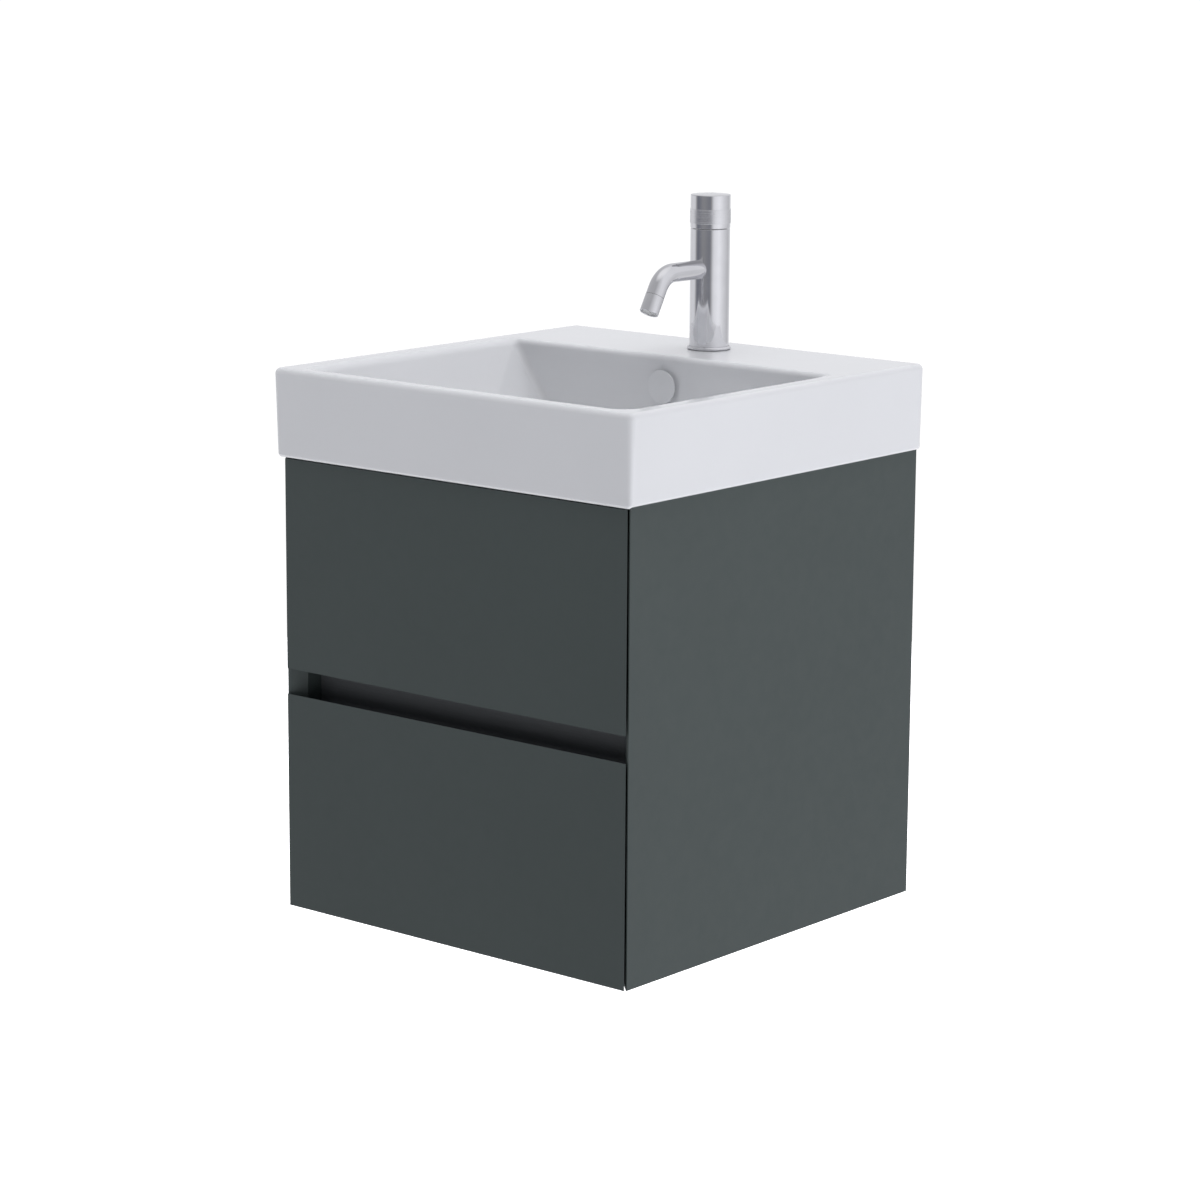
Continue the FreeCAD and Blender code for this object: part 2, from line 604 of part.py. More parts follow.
def make_trap():
    """Bottle trap: a dip tube from the waste, the bottle, its cup and the pipe to the wall."""
    dip = tube("trap_inlet_tube", "pipe_radius", "pipe_radius - pipe_wall", ("0", WASTE_Y, "dip_bottom"),
               WASTE_END + " - dip_bottom")
    piece(dip, "trap_inlet_tube")
    union_z = WASTE_END + " - union_height / 2"
    outer = rod("union_outer", "union_radius", "union_height", ("0", WASTE_Y, union_z))
    lower = rod("union_lower", "pipe_radius + fit_clear", "union_height",
                ("0", WASTE_Y, union_z + " - past"))
    upper = rod("union_upper", "waste_radius + fit_clear", "union_height", ("0", WASTE_Y, WASTE_END))
    piece(cut("trap_union_nut", outer, fuse("union_bores", [lower, upper])), "trap_union_nut")

    gland = tube("trap_gland_nut", "gland_radius", "pipe_radius + fit_clear", ("0", WASTE_Y, "trap_top"),
                 "gland_height")
    piece(gland, "trap_gland_nut")

    bottle_z = "trap_top - trap_body_height"
    branch_end = WASTE_Y + " + trap_branch_out"
    at_outlet = ("0", WASTE_Y, "trap_outlet_z")
    bottle = rod("bottle_outer", "trap_radius", "trap_body_height", ("0", WASTE_Y, bottle_z))
    branch = rod("branch_outer", "trap_branch", "trap_branch_out", at_outlet, "y")
    room = rod("bottle_room", "trap_radius - trap_wall", "trap_body_height - trap_wall + past",
               ("0", WASTE_Y, bottle_z + " - past"))
    mouth = rod("bottle_mouth", "pipe_radius + fit_clear", "trap_wall + 2 * past",
                ("0", WASTE_Y, "trap_top - trap_wall - past"))
    channel = rod("branch_bore", "pipe_radius - 2 * pipe_wall", "trap_branch_out + past", at_outlet, "y")
    pipe_start = branch_end + " - trap_socket"
    socket = rod("branch_socket", "pipe_radius + fit_clear", "trap_socket + past",
                 ("0", pipe_start, "trap_outlet_z"), "y")
    casing = fuse("bottle_casing", [bottle, branch])
    piece(cut("trap_body", casing, fuse("bottle_spaces", [room, mouth, channel, socket])), "trap_body")

    cup_top = bottle_z + " + cup_overlap"
    cup = rod("cup_outer", "trap_radius + trap_wall", cup_top + " - cup_bottom",
              ("0", WASTE_Y, "cup_bottom"))
    thread = rod("cup_thread", "trap_radius + fit_clear", "cup_overlap + past", ("0", WASTE_Y, bottle_z))
    well = rod("cup_well", "trap_radius - trap_wall", bottle_z + " - cup_bottom - trap_wall + past",
               ("0", WASTE_Y, "cup_bottom + trap_wall"))
    piece(cut("trap_cup", cup, fuse("cup_spaces", [thread, well])), "trap_cup")

    nut = tube("trap_outlet_nut", "union_radius", "pipe_radius + fit_clear",
               ("0", branch_end, "trap_outlet_z"), "gland_height", "y")
    piece(nut, "trap_outlet_nut")
    pipe = tube("trap_outlet_pipe", "pipe_radius", "pipe_radius - pipe_wall",
                ("0", pipe_start, "trap_outlet_z"), "-(%s)" % pipe_start, "y")
    piece(pipe, "trap_outlet_pipe")
    rosette = tube("wall_rosette", "rosette_radius", "pipe_radius + fit_clear",
                   ("0", "-rosette_height", "trap_outlet_z"), "rosette_height", "y")
    piece(rosette, "wall_rosette")


# ---------------------------------------------------------------- tap

def make_tap():
    """Single-hole mixer: a turned body and base ring, a bent spout, a cartridge and a turning knob."""
    axis = ("0", "-tap_from_wall", "0")

    def on_axis(height, forward="0", sideways="0"):
        return (sideways, "-tap_from_wall - (%s)" % forward, height)

    seal = tube("tap_seal", "seal_radius", "tap_hole - seal_lip", on_axis(DECK), "tap_gasket")
    piece(seal, "tap_seal")
    ring = tube("ring_blank", "ring_radius", "tap_radius + fit_clear", on_axis(DECK), "ring_height")
    seal_seat = rod("ring_seal_seat", "seal_radius + fit_clear", "tap_gasket + past",
                    on_axis(DECK + " - past"))
    piece(cut("tap_base_ring", ring, seal_seat), "tap_base_ring")

    column = rod("tap_column", "tap_radius", "%s - %s" % (BODY_TOP, TAP_BASE), on_axis(TAP_BASE))
    chamber = rod("tap_chamber", "cartridge_radius + fit_clear", "cartridge_depth + past",
                  on_axis(BODY_TOP + " - cartridge_depth"))
    spout_seat = rod("tap_spout_seat", "spout_radius + fit_clear", "spout_in_body + past",
                     on_axis(SPOUT_Z, "tap_radius + past"), "y")
    channel = rod("tap_channel", "waterway", "tap_radius", on_axis(SPOUT_Z, "tap_radius"), "y")
    riser = rod("tap_riser", "waterway", "%s - cartridge_depth - %s + past" % (BODY_TOP, SPOUT_Z),
                on_axis(SPOUT_Z))
    stud_seat = rod("tap_stud_seat", "stud_radius + fit_clear", "stud_in_body + past",
                    on_axis(TAP_BASE + " - past", "stud_forward"))
    inlets = []
    for sign, name in ((-1, "tap_inlet_cold"), (1, "tap_inlet_hot")):
        inlets.append(rod(name, "inlet_radius", "inlet_depth + past",
                          on_axis(TAP_BASE + " - past", "-inlet_back", "%d * inlet_side" % sign)))
    spaces = fuse("tap_spaces", [chamber, spout_seat, channel, riser, stud_seat] + inlets)
    piece(cut("tap_body", column, spaces), "tap_body")

    def outlet(name, radius, length, along):
        """A round bar in line with the spout's outlet, that starts at a distance past the bend."""
        item = rod(name, radius, length, axis)
        item.Placement = FreeCAD.Placement(FreeCAD.Vector(), FreeCAD.Rotation(FreeCAD.Vector(1, 0, 0), 150))
        bind(item, "Placement.Rotation.Angle", "90 + spout_turn")
        height = SPOUT_Z + " - spout_bend * (1 - cos(spout_turn)) - (%s) * sin(spout_turn)" % along
        forward = "spout_reach + spout_bend * sin(spout_turn) + (%s) * cos(spout_turn)" % along
        place(item, on_axis(height, forward))
        return item

    def bent_tube(name, radius, reach, tail):
        """A straight run forward, a round bend and a straight run down and forward."""
        run = rod(name + "_run", radius, reach, on_axis(SPOUT_Z, "spout_reach"), "y")
        bend = doc.addObject("Part::Torus", name + "_bend")
        bind(bend, "Radius1", "spout_bend")
        bind(bend, "Radius2", radius)
        bind(bend, "Angle3", "spout_turn")
        upright = FreeCAD.Matrix(0, 0, 1, 0, 0, -1, 0, 0, 1, 0, 0, 0, 0, 0, 0, 1)
        bend.Placement = FreeCAD.Placement(upright)
        place(bend, on_axis(SPOUT_Z + " - spout_bend", "spout_reach"))
        return fuse(name, [run, bend, outlet(name + "_tail", radius, tail, "0")])

    reach = "spout_reach - tap_radius + spout_in_body"
    outer = bent_tube("spout_outer", "spout_radius", reach, "spout_tail")
    inner = bent_tube("spout_inner", "spout_bore", reach + " + past", "spout_tail + past")
    piece(cut("tap_spout", outer, inner), "tap_spout")

    housing = outlet("aerator_housing", "aerator_radius", "aerator_length", "spout_tail")
    mouth = outlet("aerator_mouth", "aerator_bore", "aerator_length", "spout_tail + aerator_seat")
    throat = outlet("aerator_throat_bore", "aerator_throat", "aerator_length", "spout_tail - past")
    piece(cut("tap_aerator", housing, fuse("aerator_spaces", [mouth, throat])), "tap_aerator")

    bottom = BODY_TOP + " - cartridge_depth"
    case = rod("cartridge_case", "cartridge_radius", "cartridge_depth + cartridge_up", on_axis(bottom))
    well = rod("cartridge_well", "spindle_radius + spindle_run", "spindle_down + past",
               on_axis(BODY_TOP + " + cartridge_up - spindle_down"))
    piece(cut("tap_cartridge", case, well), "tap_cartridge")
    roof = KNOB_BOTTOM + " + knob_height - knob_roof"
    spindle_low = BODY_TOP + " + cartridge_up - spindle_down + spindle_end_gap"
    piece(rod("tap_spindle", "spindle_radius", "%s - (%s)" % (roof, spindle_low), on_axis(spindle_low)),
          "tap_spindle")
    ring_nut = tube("tap_cartridge_nut", "cartridge_nut", "cartridge_radius + fit_clear", on_axis(BODY_TOP),
                    "cartridge_up")
    piece(ring_nut, "tap_cartridge_nut")

    band_low = "knob_height - knob_cap - knurl_height"
    band_high = "knob_height - knob_cap"
    inside = "cartridge_nut + knob_run"
    roof_up = "knob_height - knob_roof"
    knob = turned("tap_knob", [
        (inside, "0"), ("knob_radius", "0"), ("knob_radius", band_low),
        ("knurl_radius", band_low + " + knurl_slope"), ("knurl_radius", band_high + " - knurl_slope"),
        ("knob_radius", band_high), ("knob_radius", "knob_height - knob_edge"),
        ("knob_radius - knob_edge", "knob_height"), ("0", "knob_height"),
        ("0", roof_up), (inside, roof_up)], on_axis(KNOB_BOTTOM))
    piece(knob, "tap_knob")

    stud_top = TAP_BASE + " + stud_in_body"
    stud = rod("stud_bar", "stud_radius", "stud_length", on_axis(stud_top + " - stud_length", "stud_forward"))
    piece(stud, "tap_stud")
    clamp_z = DECK + " - ceramic - clamp_height"
    disc = rod("clamp_disc", "clamp_radius", "clamp_height", on_axis(clamp_z))
    stud_hole = rod("clamp_stud_hole", "stud_radius + fit_clear", "clamp_height + 2 * past",
                    on_axis(clamp_z + " - past", "stud_forward"))
    slot = block("clamp_slot_cut", ("-clamp_slot", "clamp_slot"),
                 ("-tap_from_wall - clamp_slot_ahead", "-tap_from_wall + clamp_radius + past"),
                 (clamp_z + " - past", clamp_z + " + clamp_height + past"))
    piece(cut("tap_clamp", disc, group("clamp_cuts", [stud_hole, slot])), "tap_clamp")
    nut_z = clamp_z + " - clamp_nut_height"
    nut = hexagon("clamp_nut_blank", "clamp_nut_radius", "clamp_nut_height", on_axis(nut_z, "stud_forward"))
    bore = rod("clamp_nut_bore", "stud_radius + fit_clear", "clamp_nut_height + 2 * past",
               on_axis(nut_z + " - past", "stud_forward"))
    piece(cut("tap_clamp_nut", nut, bore), "tap_clamp_nut")


# ---------------------------------------------------------------- drawers

def channel(name, sign, web, web_face, tip, half, z, length):
    """A C-shaped steel rail along Y: its web lies from web to web_face, and its flanges reach to tip."""
    low = "-(%s) + runner_steel" % half
    high = "%s - runner_steel" % half
    points = []
    for x, height in ((web, "-(%s)" % half), (tip, "-(%s)" % half), (tip, low), (web_face, low),
                      (web_face, high), (tip, high), (tip, half), (web, half)):
        points.append(("%d * (%s)" % (sign, x), height))
    return prism(name, "XZ_Plane", points, length, ("0", "-runner_rear_gap", z))


def make_runners(level, bottom):
    """Three-part full-extension runners: cabinet rails, middle rails and drawer rails."""
    z = "%s + runner_up" % bottom
    half_cabinet = "runner_height / 2"
    half_middle = "runner_height / 2 - runner_steel - runner_clear"
    half_drawer = "runner_height / 2 - 2 * runner_steel - 2 * runner_clear"
    web = INSIDE + " - runner_steel - 2 * runner_clear"
    rails = {"cabinet": [], "middle": [], "drawer": []}
    for sign in (-1, 1):
        tag = "%s_%s" % (level, "left" if sign < 0 else "right")
        rails["cabinet"].append(channel("cabinet_rail_" + tag, sign, INSIDE, INSIDE + " - runner_steel",
                                        INSIDE + " - runner_depth + runner_tip_gap", half_cabinet, z,
                                        RUNNER_LENGTH))
        rails["middle"].append(channel("middle_rail_" + tag, sign, web, web + " - runner_steel",
                                       BOX_OUT + " + runner_steel + runner_tip_gap", half_middle, z,
                                       RUNNER_LENGTH + " - runner_step"))
        rails["drawer"].append(channel("drawer_rail_" + tag, sign, BOX_OUT, BOX_OUT + " + runner_steel",
                                       INSIDE + " - 2 * runner_steel - 4 * runner_clear", half_drawer, z,
                                       RUNNER_LENGTH + " - 2 * runner_step"))
    piece(group(level + "_middle_rails", rails["middle"]), level + "_middle_rails")
    piece(group(level + "_drawer_rails", rails["drawer"]), level + "_drawer_rails")
    return rails["cabinet"]


def make_front(level, low, high, bevel_low):
    """A lacquered front: mitred at both ends, with one long edge bevelled to the rear as a grip."""
    half = HALF + " - front_inset"
    ends = [("-(%s)" % half, FRONT), (half, FRONT), ("%s - front_board" % half, FRONT_BACK),
            ("-(%s - front_board)" % half, FRONT_BACK)]
    blank = prism(level + "_front_blank", "XY_Plane", ends, "%s - (%s)" % (high, low), ("0", "0", low))
    edge = low if bevel_low else high
    inward = "+" if bevel_low else "-"
    slope = [(FRONT, edge), (FRONT_BACK + " + past", "%s %s (front_board + past)" % (edge, inward)),
             (FRONT_BACK + " + past", edge)]
    bevel = prism(level + "_bevel", "YZ_Plane", slope, "cabinet_width", ("-" + HALF, "0", "0"))
    return cut(level + "_front_board", blank, bevel)


def make_drawer(level, bottom, height, front, with_cutout):
    """A drawer box of four boards and a grooved-in base, with its front screwed on from inside."""
    top = "%s + %s" % (bottom, height)
    base_low = "%s + base_up" % bottom
    base_top = base_low + " + base_board"
    y_box = (FRONT_BACK, BOX_REAR)
    inner_front = FRONT_BACK + " + box_board"

    grown = block(level + "_groove", ("-(%s + groove)" % BOX_IN, "%s + groove" % BOX_IN),
                  (inner_front + " - groove", BOX_REAR + " + past"),
                  (base_low + " - groove_clear / 2", base_top + " + groove_clear / 2"))
    for sign, name in ((-1, "left"), (1, "right")):
        label = "%s_box_side_%s" % (level, name)
        blank = block(label + "_blank", side(sign, BOX_IN, BOX_OUT), y_box, (bottom, top))
        piece(cut(label, blank, grown), label)
    across = ("-" + BOX_IN, BOX_IN)

    screws = []
    bores = []
    for sign in (-1, 1):
        for row in ("low", "high"):
            at_x = "%d * %s * screw_share_side" % (sign, BOX_IN)
            at_z = "%s + %s * screw_share_%s" % (bottom, height, row)
            tag = "%s_screw_%s_%s" % (level, "left" if sign < 0 else "right", row)
            tip = FRONT_BACK + " - screw_bite"
            shank = rod(tag + "_shank", "screw_radius", "screw_bite + box_board", (at_x, tip, at_z), "y")
            head = rod(tag + "_head", "screw_head_radius", "screw_head", (at_x, inner_front, at_z), "y")
            screws.append(fuse(tag, [shank, head]))
            bores.append(rod(tag + "_bore", "screw_radius + fit_clear", "screw_bite + box_board + past",
                             (at_x, tip + " - fit_clear", at_z), "y"))
    piece(group(level + "_front_screws", screws), level + "_front_screws")
    bore_group = group(level + "_bores", bores)
    piece(cut(level + "_drawer_front", front, bore_group), level + "_drawer_front")
    inner = block(level + "_box_front_blank", across, (FRONT_BACK, inner_front), (bottom, top))
    cuts = group(level + "_box_front_cuts", bores)
    grooved = cut(level + "_box_front_grooved", inner, grown)
    piece(cut(level + "_box_front", grooved, cuts), level + "_box_front")

    base_half = BOX_IN + " + groove - groove_clear"
    base = block(level + "_base_blank", ("-(%s)" % base_half, base_half),
                 (inner_front + " - groove + groove_clear", BOX_REAR), (base_low, base_top))
    y_back = (BOX_REAR + " - box_board", BOX_REAR)
    if not with_cutout:
        piece(base, level + "_box_base")
        piece(block(level + "_box_back", across, y_back, (base_top, top)), level + "_box_back")
        return
    ahead = WASTE_Y + " - cutout_ahead"
    notch = block(level + "_notch", ("-cutout_half", "cutout_half"), (ahead, BOX_REAR + " + past"),
                  (base_low + " - past", base_top + " + past"))
    piece(cut(level + "_box_base", base, notch), level + "_box_base")
    backs = []
    for sign, name in ((-1, "left"), (1, "right")):
        backs.append(block("%s_back_%s" % (level, name), side(sign, "cutout_half", BOX_IN), y_back,
                           (base_top, top)))
    piece(group(level + "_box_back", backs), level + "_box_back")
    wall = "surround_wall"
    points = [("-cutout_half", BOX_REAR), ("-cutout_half", ahead), ("cutout_half", ahead),
              ("cutout_half", BOX_REAR), ("cutout_half - " + wall, BOX_REAR),
              ("cutout_half - " + wall, "%s + %s" % (ahead, wall)),
              ("-cutout_half + " + wall, "%s + %s" % (ahead, wall)), ("-cutout_half + " + wall, BOX_REAR)]
    body = new_body(level + "_trap_surround", ("0", "0", base_low))
    sketch = outline(body, level + "_surround_outline", "XY_Plane", points)
    wrap = pad(body, level + "_surround_pad", sketch, "%s - surround_top - (%s)" % (top, base_low))
    doc.recompute()
    box = wrap.Shape.BoundBox

    def turns_at(reach):
        def test(edge):
            at = edge.BoundBox
            forward = abs(at.YMin - box.YMin - reach) < 0.01
            return is_upright(edge) and forward and abs(abs(at.XMin) - box.XMax + reach) < 0.01
        return test

    rounded = soften(body, level + "_surround_outer", wrap, "surround_radius", turns_at(0))
    inner_radius = "surround_radius - surround_wall"
    soften(body, level + "_surround_inner", rounded, inner_radius, turns_at(size_of("surround_wall")))
    piece(body, level + "_trap_surround")


def make_drawers():
    upper_low = "(lower_front_height + finger_gap)"
    lower = make_front("lower", "0", "lower_front_height", False)
    upper = make_front("upper", upper_low, "cabinet_height - top_gap", True)
    make_drawer("upper", "upper_box_bottom", "upper_box_height", upper, True)
    make_drawer("lower", "lower_box_bottom", "lower_box_height", lower, False)
    rails = make_runners("upper", "upper_box_bottom") + make_runners("lower", "lower_box_bottom")
    piece(group("cabinet_rails", rails), "cabinet_rails")


# ---------------------------------------------------------------- build, test and write

make_carcase()
make_grip()
make_hangers()
make_basin()
make_overflow()
make_waste()
make_trap()
make_tap()
make_drawers()
doc.recompute()

for item in doc.Objects:
    if "Invalid" in item.State or "Error" in item.State:
        raise RuntimeError("%s failed: %s" % (item.Label, item.State))
os.makedirs("parts", exist_ok=True)
for label, item in PIECES.items():
    shape = item.Shape
    if shape.isNull() or not shape.isValid() or not shape.Solids:
        raise RuntimeError("%s has no valid solid" % label)
    print("%-26s %d solid(s) %10.1f mm3" % (label, len(shape.Solids), shape.Volume))
    shape.exportStep("parts/%s.step" % label)
print(len(PIECES), "nodes")
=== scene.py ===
import math

import bmesh
import bpy
from mathutils import Matrix, Vector


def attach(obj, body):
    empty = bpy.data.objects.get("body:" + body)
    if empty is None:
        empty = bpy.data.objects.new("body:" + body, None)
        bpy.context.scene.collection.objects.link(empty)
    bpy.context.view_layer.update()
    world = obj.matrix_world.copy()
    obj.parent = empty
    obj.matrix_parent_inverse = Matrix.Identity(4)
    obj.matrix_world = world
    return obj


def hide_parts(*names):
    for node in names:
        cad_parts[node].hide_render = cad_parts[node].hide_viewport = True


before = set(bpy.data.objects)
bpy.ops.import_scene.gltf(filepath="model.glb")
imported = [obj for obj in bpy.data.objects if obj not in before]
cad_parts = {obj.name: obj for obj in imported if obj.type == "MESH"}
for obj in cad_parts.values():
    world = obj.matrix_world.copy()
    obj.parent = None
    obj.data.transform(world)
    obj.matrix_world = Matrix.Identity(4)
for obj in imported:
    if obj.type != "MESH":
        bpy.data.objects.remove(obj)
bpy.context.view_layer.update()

# ---------------------------------------------------------------- camera
# Stands about four metres off the cabinet's front right corner, higher than the tap,
# and looks slightly down with a long lens.
camera_distance = 4.01465
aim_right = 0.000554
aim_up = 0.086188
camera_turn = math.radians(39.985)
camera_tilt = math.radians(11.494)
camera_roll = math.radians(0.345)
camera_back = Vector((math.sin(camera_turn) * math.cos(camera_tilt),
                      -math.cos(camera_turn) * math.cos(camera_tilt), math.sin(camera_tilt)))
level_right = Vector((0, 0, 1)).cross(camera_back).normalized()
level_up = camera_back.cross(level_right)
camera_right = math.cos(camera_roll) * level_right + math.sin(camera_roll) * level_up
camera_up = math.cos(camera_roll) * level_up - math.sin(camera_roll) * level_right
aim = Vector((0, -0.25, 0.25)) + camera_right * aim_right + camera_up * aim_up
camera_place = aim + camera_back * camera_distance
camera_axes = Matrix((camera_right, camera_up, camera_back)).transposed()
camera = bpy.data.objects.new("camera", bpy.data.cameras.new("camera"))
camera.data.sensor_width = 36
camera.data.lens = 109.8225
camera.data.clip_end = 100
camera.matrix_world = Matrix.Translation(camera_place) @ camera_axes.to_4x4()
bpy.context.scene.collection.objects.link(camera)
bpy.context.scene.camera = camera

# ---------------------------------------------------------------- studio
# A white room, bright on the right and overhead and dim in front. Matt surfaces are lit by one set
# of wall lights, and reflections see another. A pale floor lies below the cabinet, which hangs
# on a wall that isn't built.
floor_radius = 3.2
floor_sides = 96
floor_height = -0.38
floor_middle = -0.25


def add_step(tree, kind, inputs=None, **settings):
    """Adds one shader step. Each input is a value, or the output of an earlier step."""
    step = tree.nodes.new(kind)
    for name, value in settings.items():
        setattr(step, name, value)
    for socket, value in (inputs or {}).items():
        if isinstance(value, bpy.types.NodeSocket):
            tree.links.new(value, step.inputs[socket])
        else:
            step.inputs[socket].default_value = value
    return step


def set_stops(ramp, stops):
    """Gives a colour ramp its stops: pairs of position and colour."""
    while len(ramp.elements) > 1:
        ramp.elements.remove(ramp.elements[-1])
    ramp.elements[0].position = stops[0][0]
    ramp.elements[0].color = (*stops[0][1], 1)
    for position, colour in stops[1:]:
        ramp.elements.new(position).color = (*colour, 1)


def wall_stops(lights):
    """Colour stops round the room from pairs of direction in degrees and brightness. Dim light is bluer."""
    stops = []
    for turn_at, light in lights:
        dusk = max(0, 0.33 - light)
        colour = (light * (0.985 - 0.3 * dusk), light * 0.99, light * (1.025 + 1.2 * dusk))
        stops.append(((turn_at + 180) / 360, colour))
    return stops


def light_room(tree, share, height, low_lights, high_lights, levels):
    """Room light from a low and a high ring of wall lights. Each level gives the heights that it
    begins and is complete at, and its brightness, or None for the high ring."""
    low_walls = add_step(tree, "ShaderNodeValToRGB", {"Fac": share})
    set_stops(low_walls.color_ramp, wall_stops(low_lights))
    high_walls = add_step(tree, "ShaderNodeValToRGB", {"Fac": share})
    set_stops(high_walls.color_ramp, wall_stops(high_lights))
    colour = low_walls.outputs["Color"]
    for starts, ends, light in levels:
        rise = add_step(tree, "ShaderNodeMapRange", {"Value": height, "From Min": starts, "From Max": ends},
                        interpolation_type="SMOOTHSTEP")
        beyond = (light, light, light * 1.02, 1) if light else high_walls.outputs["Color"]
        blend = add_step(tree, "ShaderNodeMix", {"Factor": rise.outputs["Result"], "A": colour, "B": beyond},
                         data_type="RGBA")
        colour = blend.outputs["Result"]
    return colour


room = bpy.data.worlds.new("room")
bpy.context.scene.world = room
room.use_nodes = True
tree = room.node_tree
tree.nodes.clear()
direction = add_step(tree, "ShaderNodeTexCoord").outputs["Generated"]
parts = add_step(tree, "ShaderNodeSeparateXYZ", {"Vector": direction})
forward = add_step(tree, "ShaderNodeMath", {0: parts.outputs["Y"], 1: -1.0}, operation="MULTIPLY")
turn = add_step(tree, "ShaderNodeMath", {0: parts.outputs["X"], 1: forward.outputs[0]}, operation="ARCTAN2")
share = add_step(tree, "ShaderNodeMapRange",
                 {"Value": turn.outputs[0], "From Min": -math.pi, "From Max": math.pi})
around = share.outputs["Result"]
height = parts.outputs["Z"]
soft_low = [(-180, 0.77), (-120, 0.64), (-60, 1.28), (0, 0.63), (60, 1.89), (120, 1.89), (180, 0.77)]
soft_high = [(-180, 0.60), (-120, 0.60), (-60, 0.03), (60, 0.03), (120, 0.16), (180, 0.60)]
soft = light_room(tree, around, height, soft_low, soft_high, [(-0.02, 0.14, None), (0.75, 0.90, 2.78)])
shine_low = [(-180, 0.77), (-109, 0.91), (-92, 0.81), (-79, 0.90), (-60, 0.84), (-50, 0.44),
             (-43, 0.26), (-35, 0.205), (-20, 0.26), (-7, 0.315), (5, 0.315), (29, 0.265),
             (38, 0.265), (44, 0.38), (50, 0.62), (56, 0.85), (64, 1.00), (90, 1.145),
             (103, 1.08), (118, 0.95), (133, 0.85), (152, 0.73), (164, 0.66), (180, 0.77)]
shine_high = [(-180, 0.90), (-140, 0.71), (-105, 0.62), (-50, 0.55), (25, 0.52), (60, 0.75),
              (90, 0.97), (140, 0.92), (180, 0.90)]
shine_levels = [(0.02, 0.18, None), (0.80, 1.00, 1.05), (-0.26, -0.64, 0.9)]
shine = light_room(tree, around, height, shine_low, shine_high, shine_levels)
glinting = add_step(tree, "ShaderNodeLightPath").outputs["Is Glossy Ray"]
room_colour = add_step(tree, "ShaderNodeMix", {"Factor": glinting, "A": soft, "B": shine},
                       data_type="RGBA")
lit = add_step(tree, "ShaderNodeBackground", {"Color": room_colour.outputs["Result"], "Strength": 1.0})
white = add_step(tree, "ShaderNodeBackground", {"Color": (1, 1, 1, 1), "Strength": 1.05})
seen = add_step(tree, "ShaderNodeLightPath").outputs["Is Camera Ray"]
both = add_step(tree, "ShaderNodeMixShader", {0: seen, 1: lit.outputs[0], 2: white.outputs[0]})
add_step(tree, "ShaderNodeOutputWorld", {"Surface": both.outputs[0]})
bpy.context.scene.view_settings.view_transform = "Standard"

floor_mesh = bpy.data.meshes.new("studio_floor")
floor_ring = []
for k in range(floor_sides):
    angle = math.tau * k / floor_sides
    floor_ring.append((floor_radius * math.cos(angle), floor_radius * math.sin(angle) + floor_middle,
                       floor_height))
floor_mesh.from_pydata(floor_ring, [], [list(range(floor_sides))])
floor = bpy.data.objects.new("studio_floor", floor_mesh)
bpy.context.scene.collection.objects.link(floor)
floor_paint = bpy.data.materials.new("studio_floor_paint")
floor_paint.use_nodes = True
tree = floor_paint.node_tree
surface = tree.nodes["Principled BSDF"]
speckle = add_step(tree, "ShaderNodeTexNoise", {"Scale": 3.0, "Detail": 3.0})
pale = add_step(tree, "ShaderNodeValToRGB", {"Fac": speckle.outputs["Fac"]})
set_stops(pale.color_ramp, [(0.3, (0.90, 0.90, 0.91)), (0.7, (0.93, 0.93, 0.94))])
tree.links.new(pale.outputs["Color"], surface.inputs["Base Color"])
surface.inputs["Roughness"].default_value = 0.8
surface.inputs["Emission Color"].default_value = (1, 1, 1, 1)
surface.inputs["Emission Strength"].default_value = 0.9
floor_mesh.materials.append(floor_paint)
floor.visible_diffuse = False
floor.visible_glossy = False

# ---------------------------------------------------------------- side panels
# Two 16 mm boards, lacquered matt slate grey on every face and mitred at the front.
# They are doweled and glued to the bottom panel and the three rails.


def start_finish(name):
    """A new finish: its shader tree, its surface step and the coordinates that it is drawn in."""
    finish = bpy.data.materials.new(name)
    finish.use_nodes = True
    tree = finish.node_tree
    at = add_step(tree, "ShaderNodeTexCoord").outputs["Object"]
    return finish, tree, tree.nodes["Principled BSDF"], at


def mottle(tree, at, scale, detail=2.0, stretch=(1, 1, 1)):
    """Soft noise over the surface, drawn out along any axis whose stretch is small."""
    drawn = add_step(tree, "ShaderNodeMapping", {"Vector": at, "Scale": stretch})
    return add_step(tree, "ShaderNodeTexNoise",
                    {"Vector": drawn.outputs[0], "Scale": scale, "Detail": detail}).outputs["Fac"]


def tint(tree, surface, amount, low, high):
    """Colours the surface between two shades."""
    shades = add_step(tree, "ShaderNodeValToRGB", {"Fac": amount})
    set_stops(shades.color_ramp, [(0.25, low), (0.75, high)])
    tree.links.new(shades.outputs["Color"], surface.inputs["Base Color"])


def polish(tree, surface, amount, low, high):
    """Varies the surface's roughness between two values."""
    spread = add_step(tree, "ShaderNodeMapRange",
                      {"Value": amount, "From Min": 0.3, "From Max": 0.7, "To Min": low, "To Max": high})
    tree.links.new(spread.outputs["Result"], surface.inputs["Roughness"])


def emboss(tree, surface, amount, depth, strength=1.0, under=None):
    """Raises the surface by a depth in metres, on top of any earlier relief."""
    inputs = {"Height": amount, "Distance": depth, "Strength": strength}
    if under:
        inputs["Normal"] = under
    relief = add_step(tree, "ShaderNodeBump", inputs).outputs["Normal"]
    tree.links.new(relief, surface.inputs["Normal"])
    return relief


def lay_finish(finish, *names):
    """Puts a finish on parts that keep their designed shape."""
    for name in names:
        for part_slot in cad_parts[name].material_slots:
            part_slot.material = finish


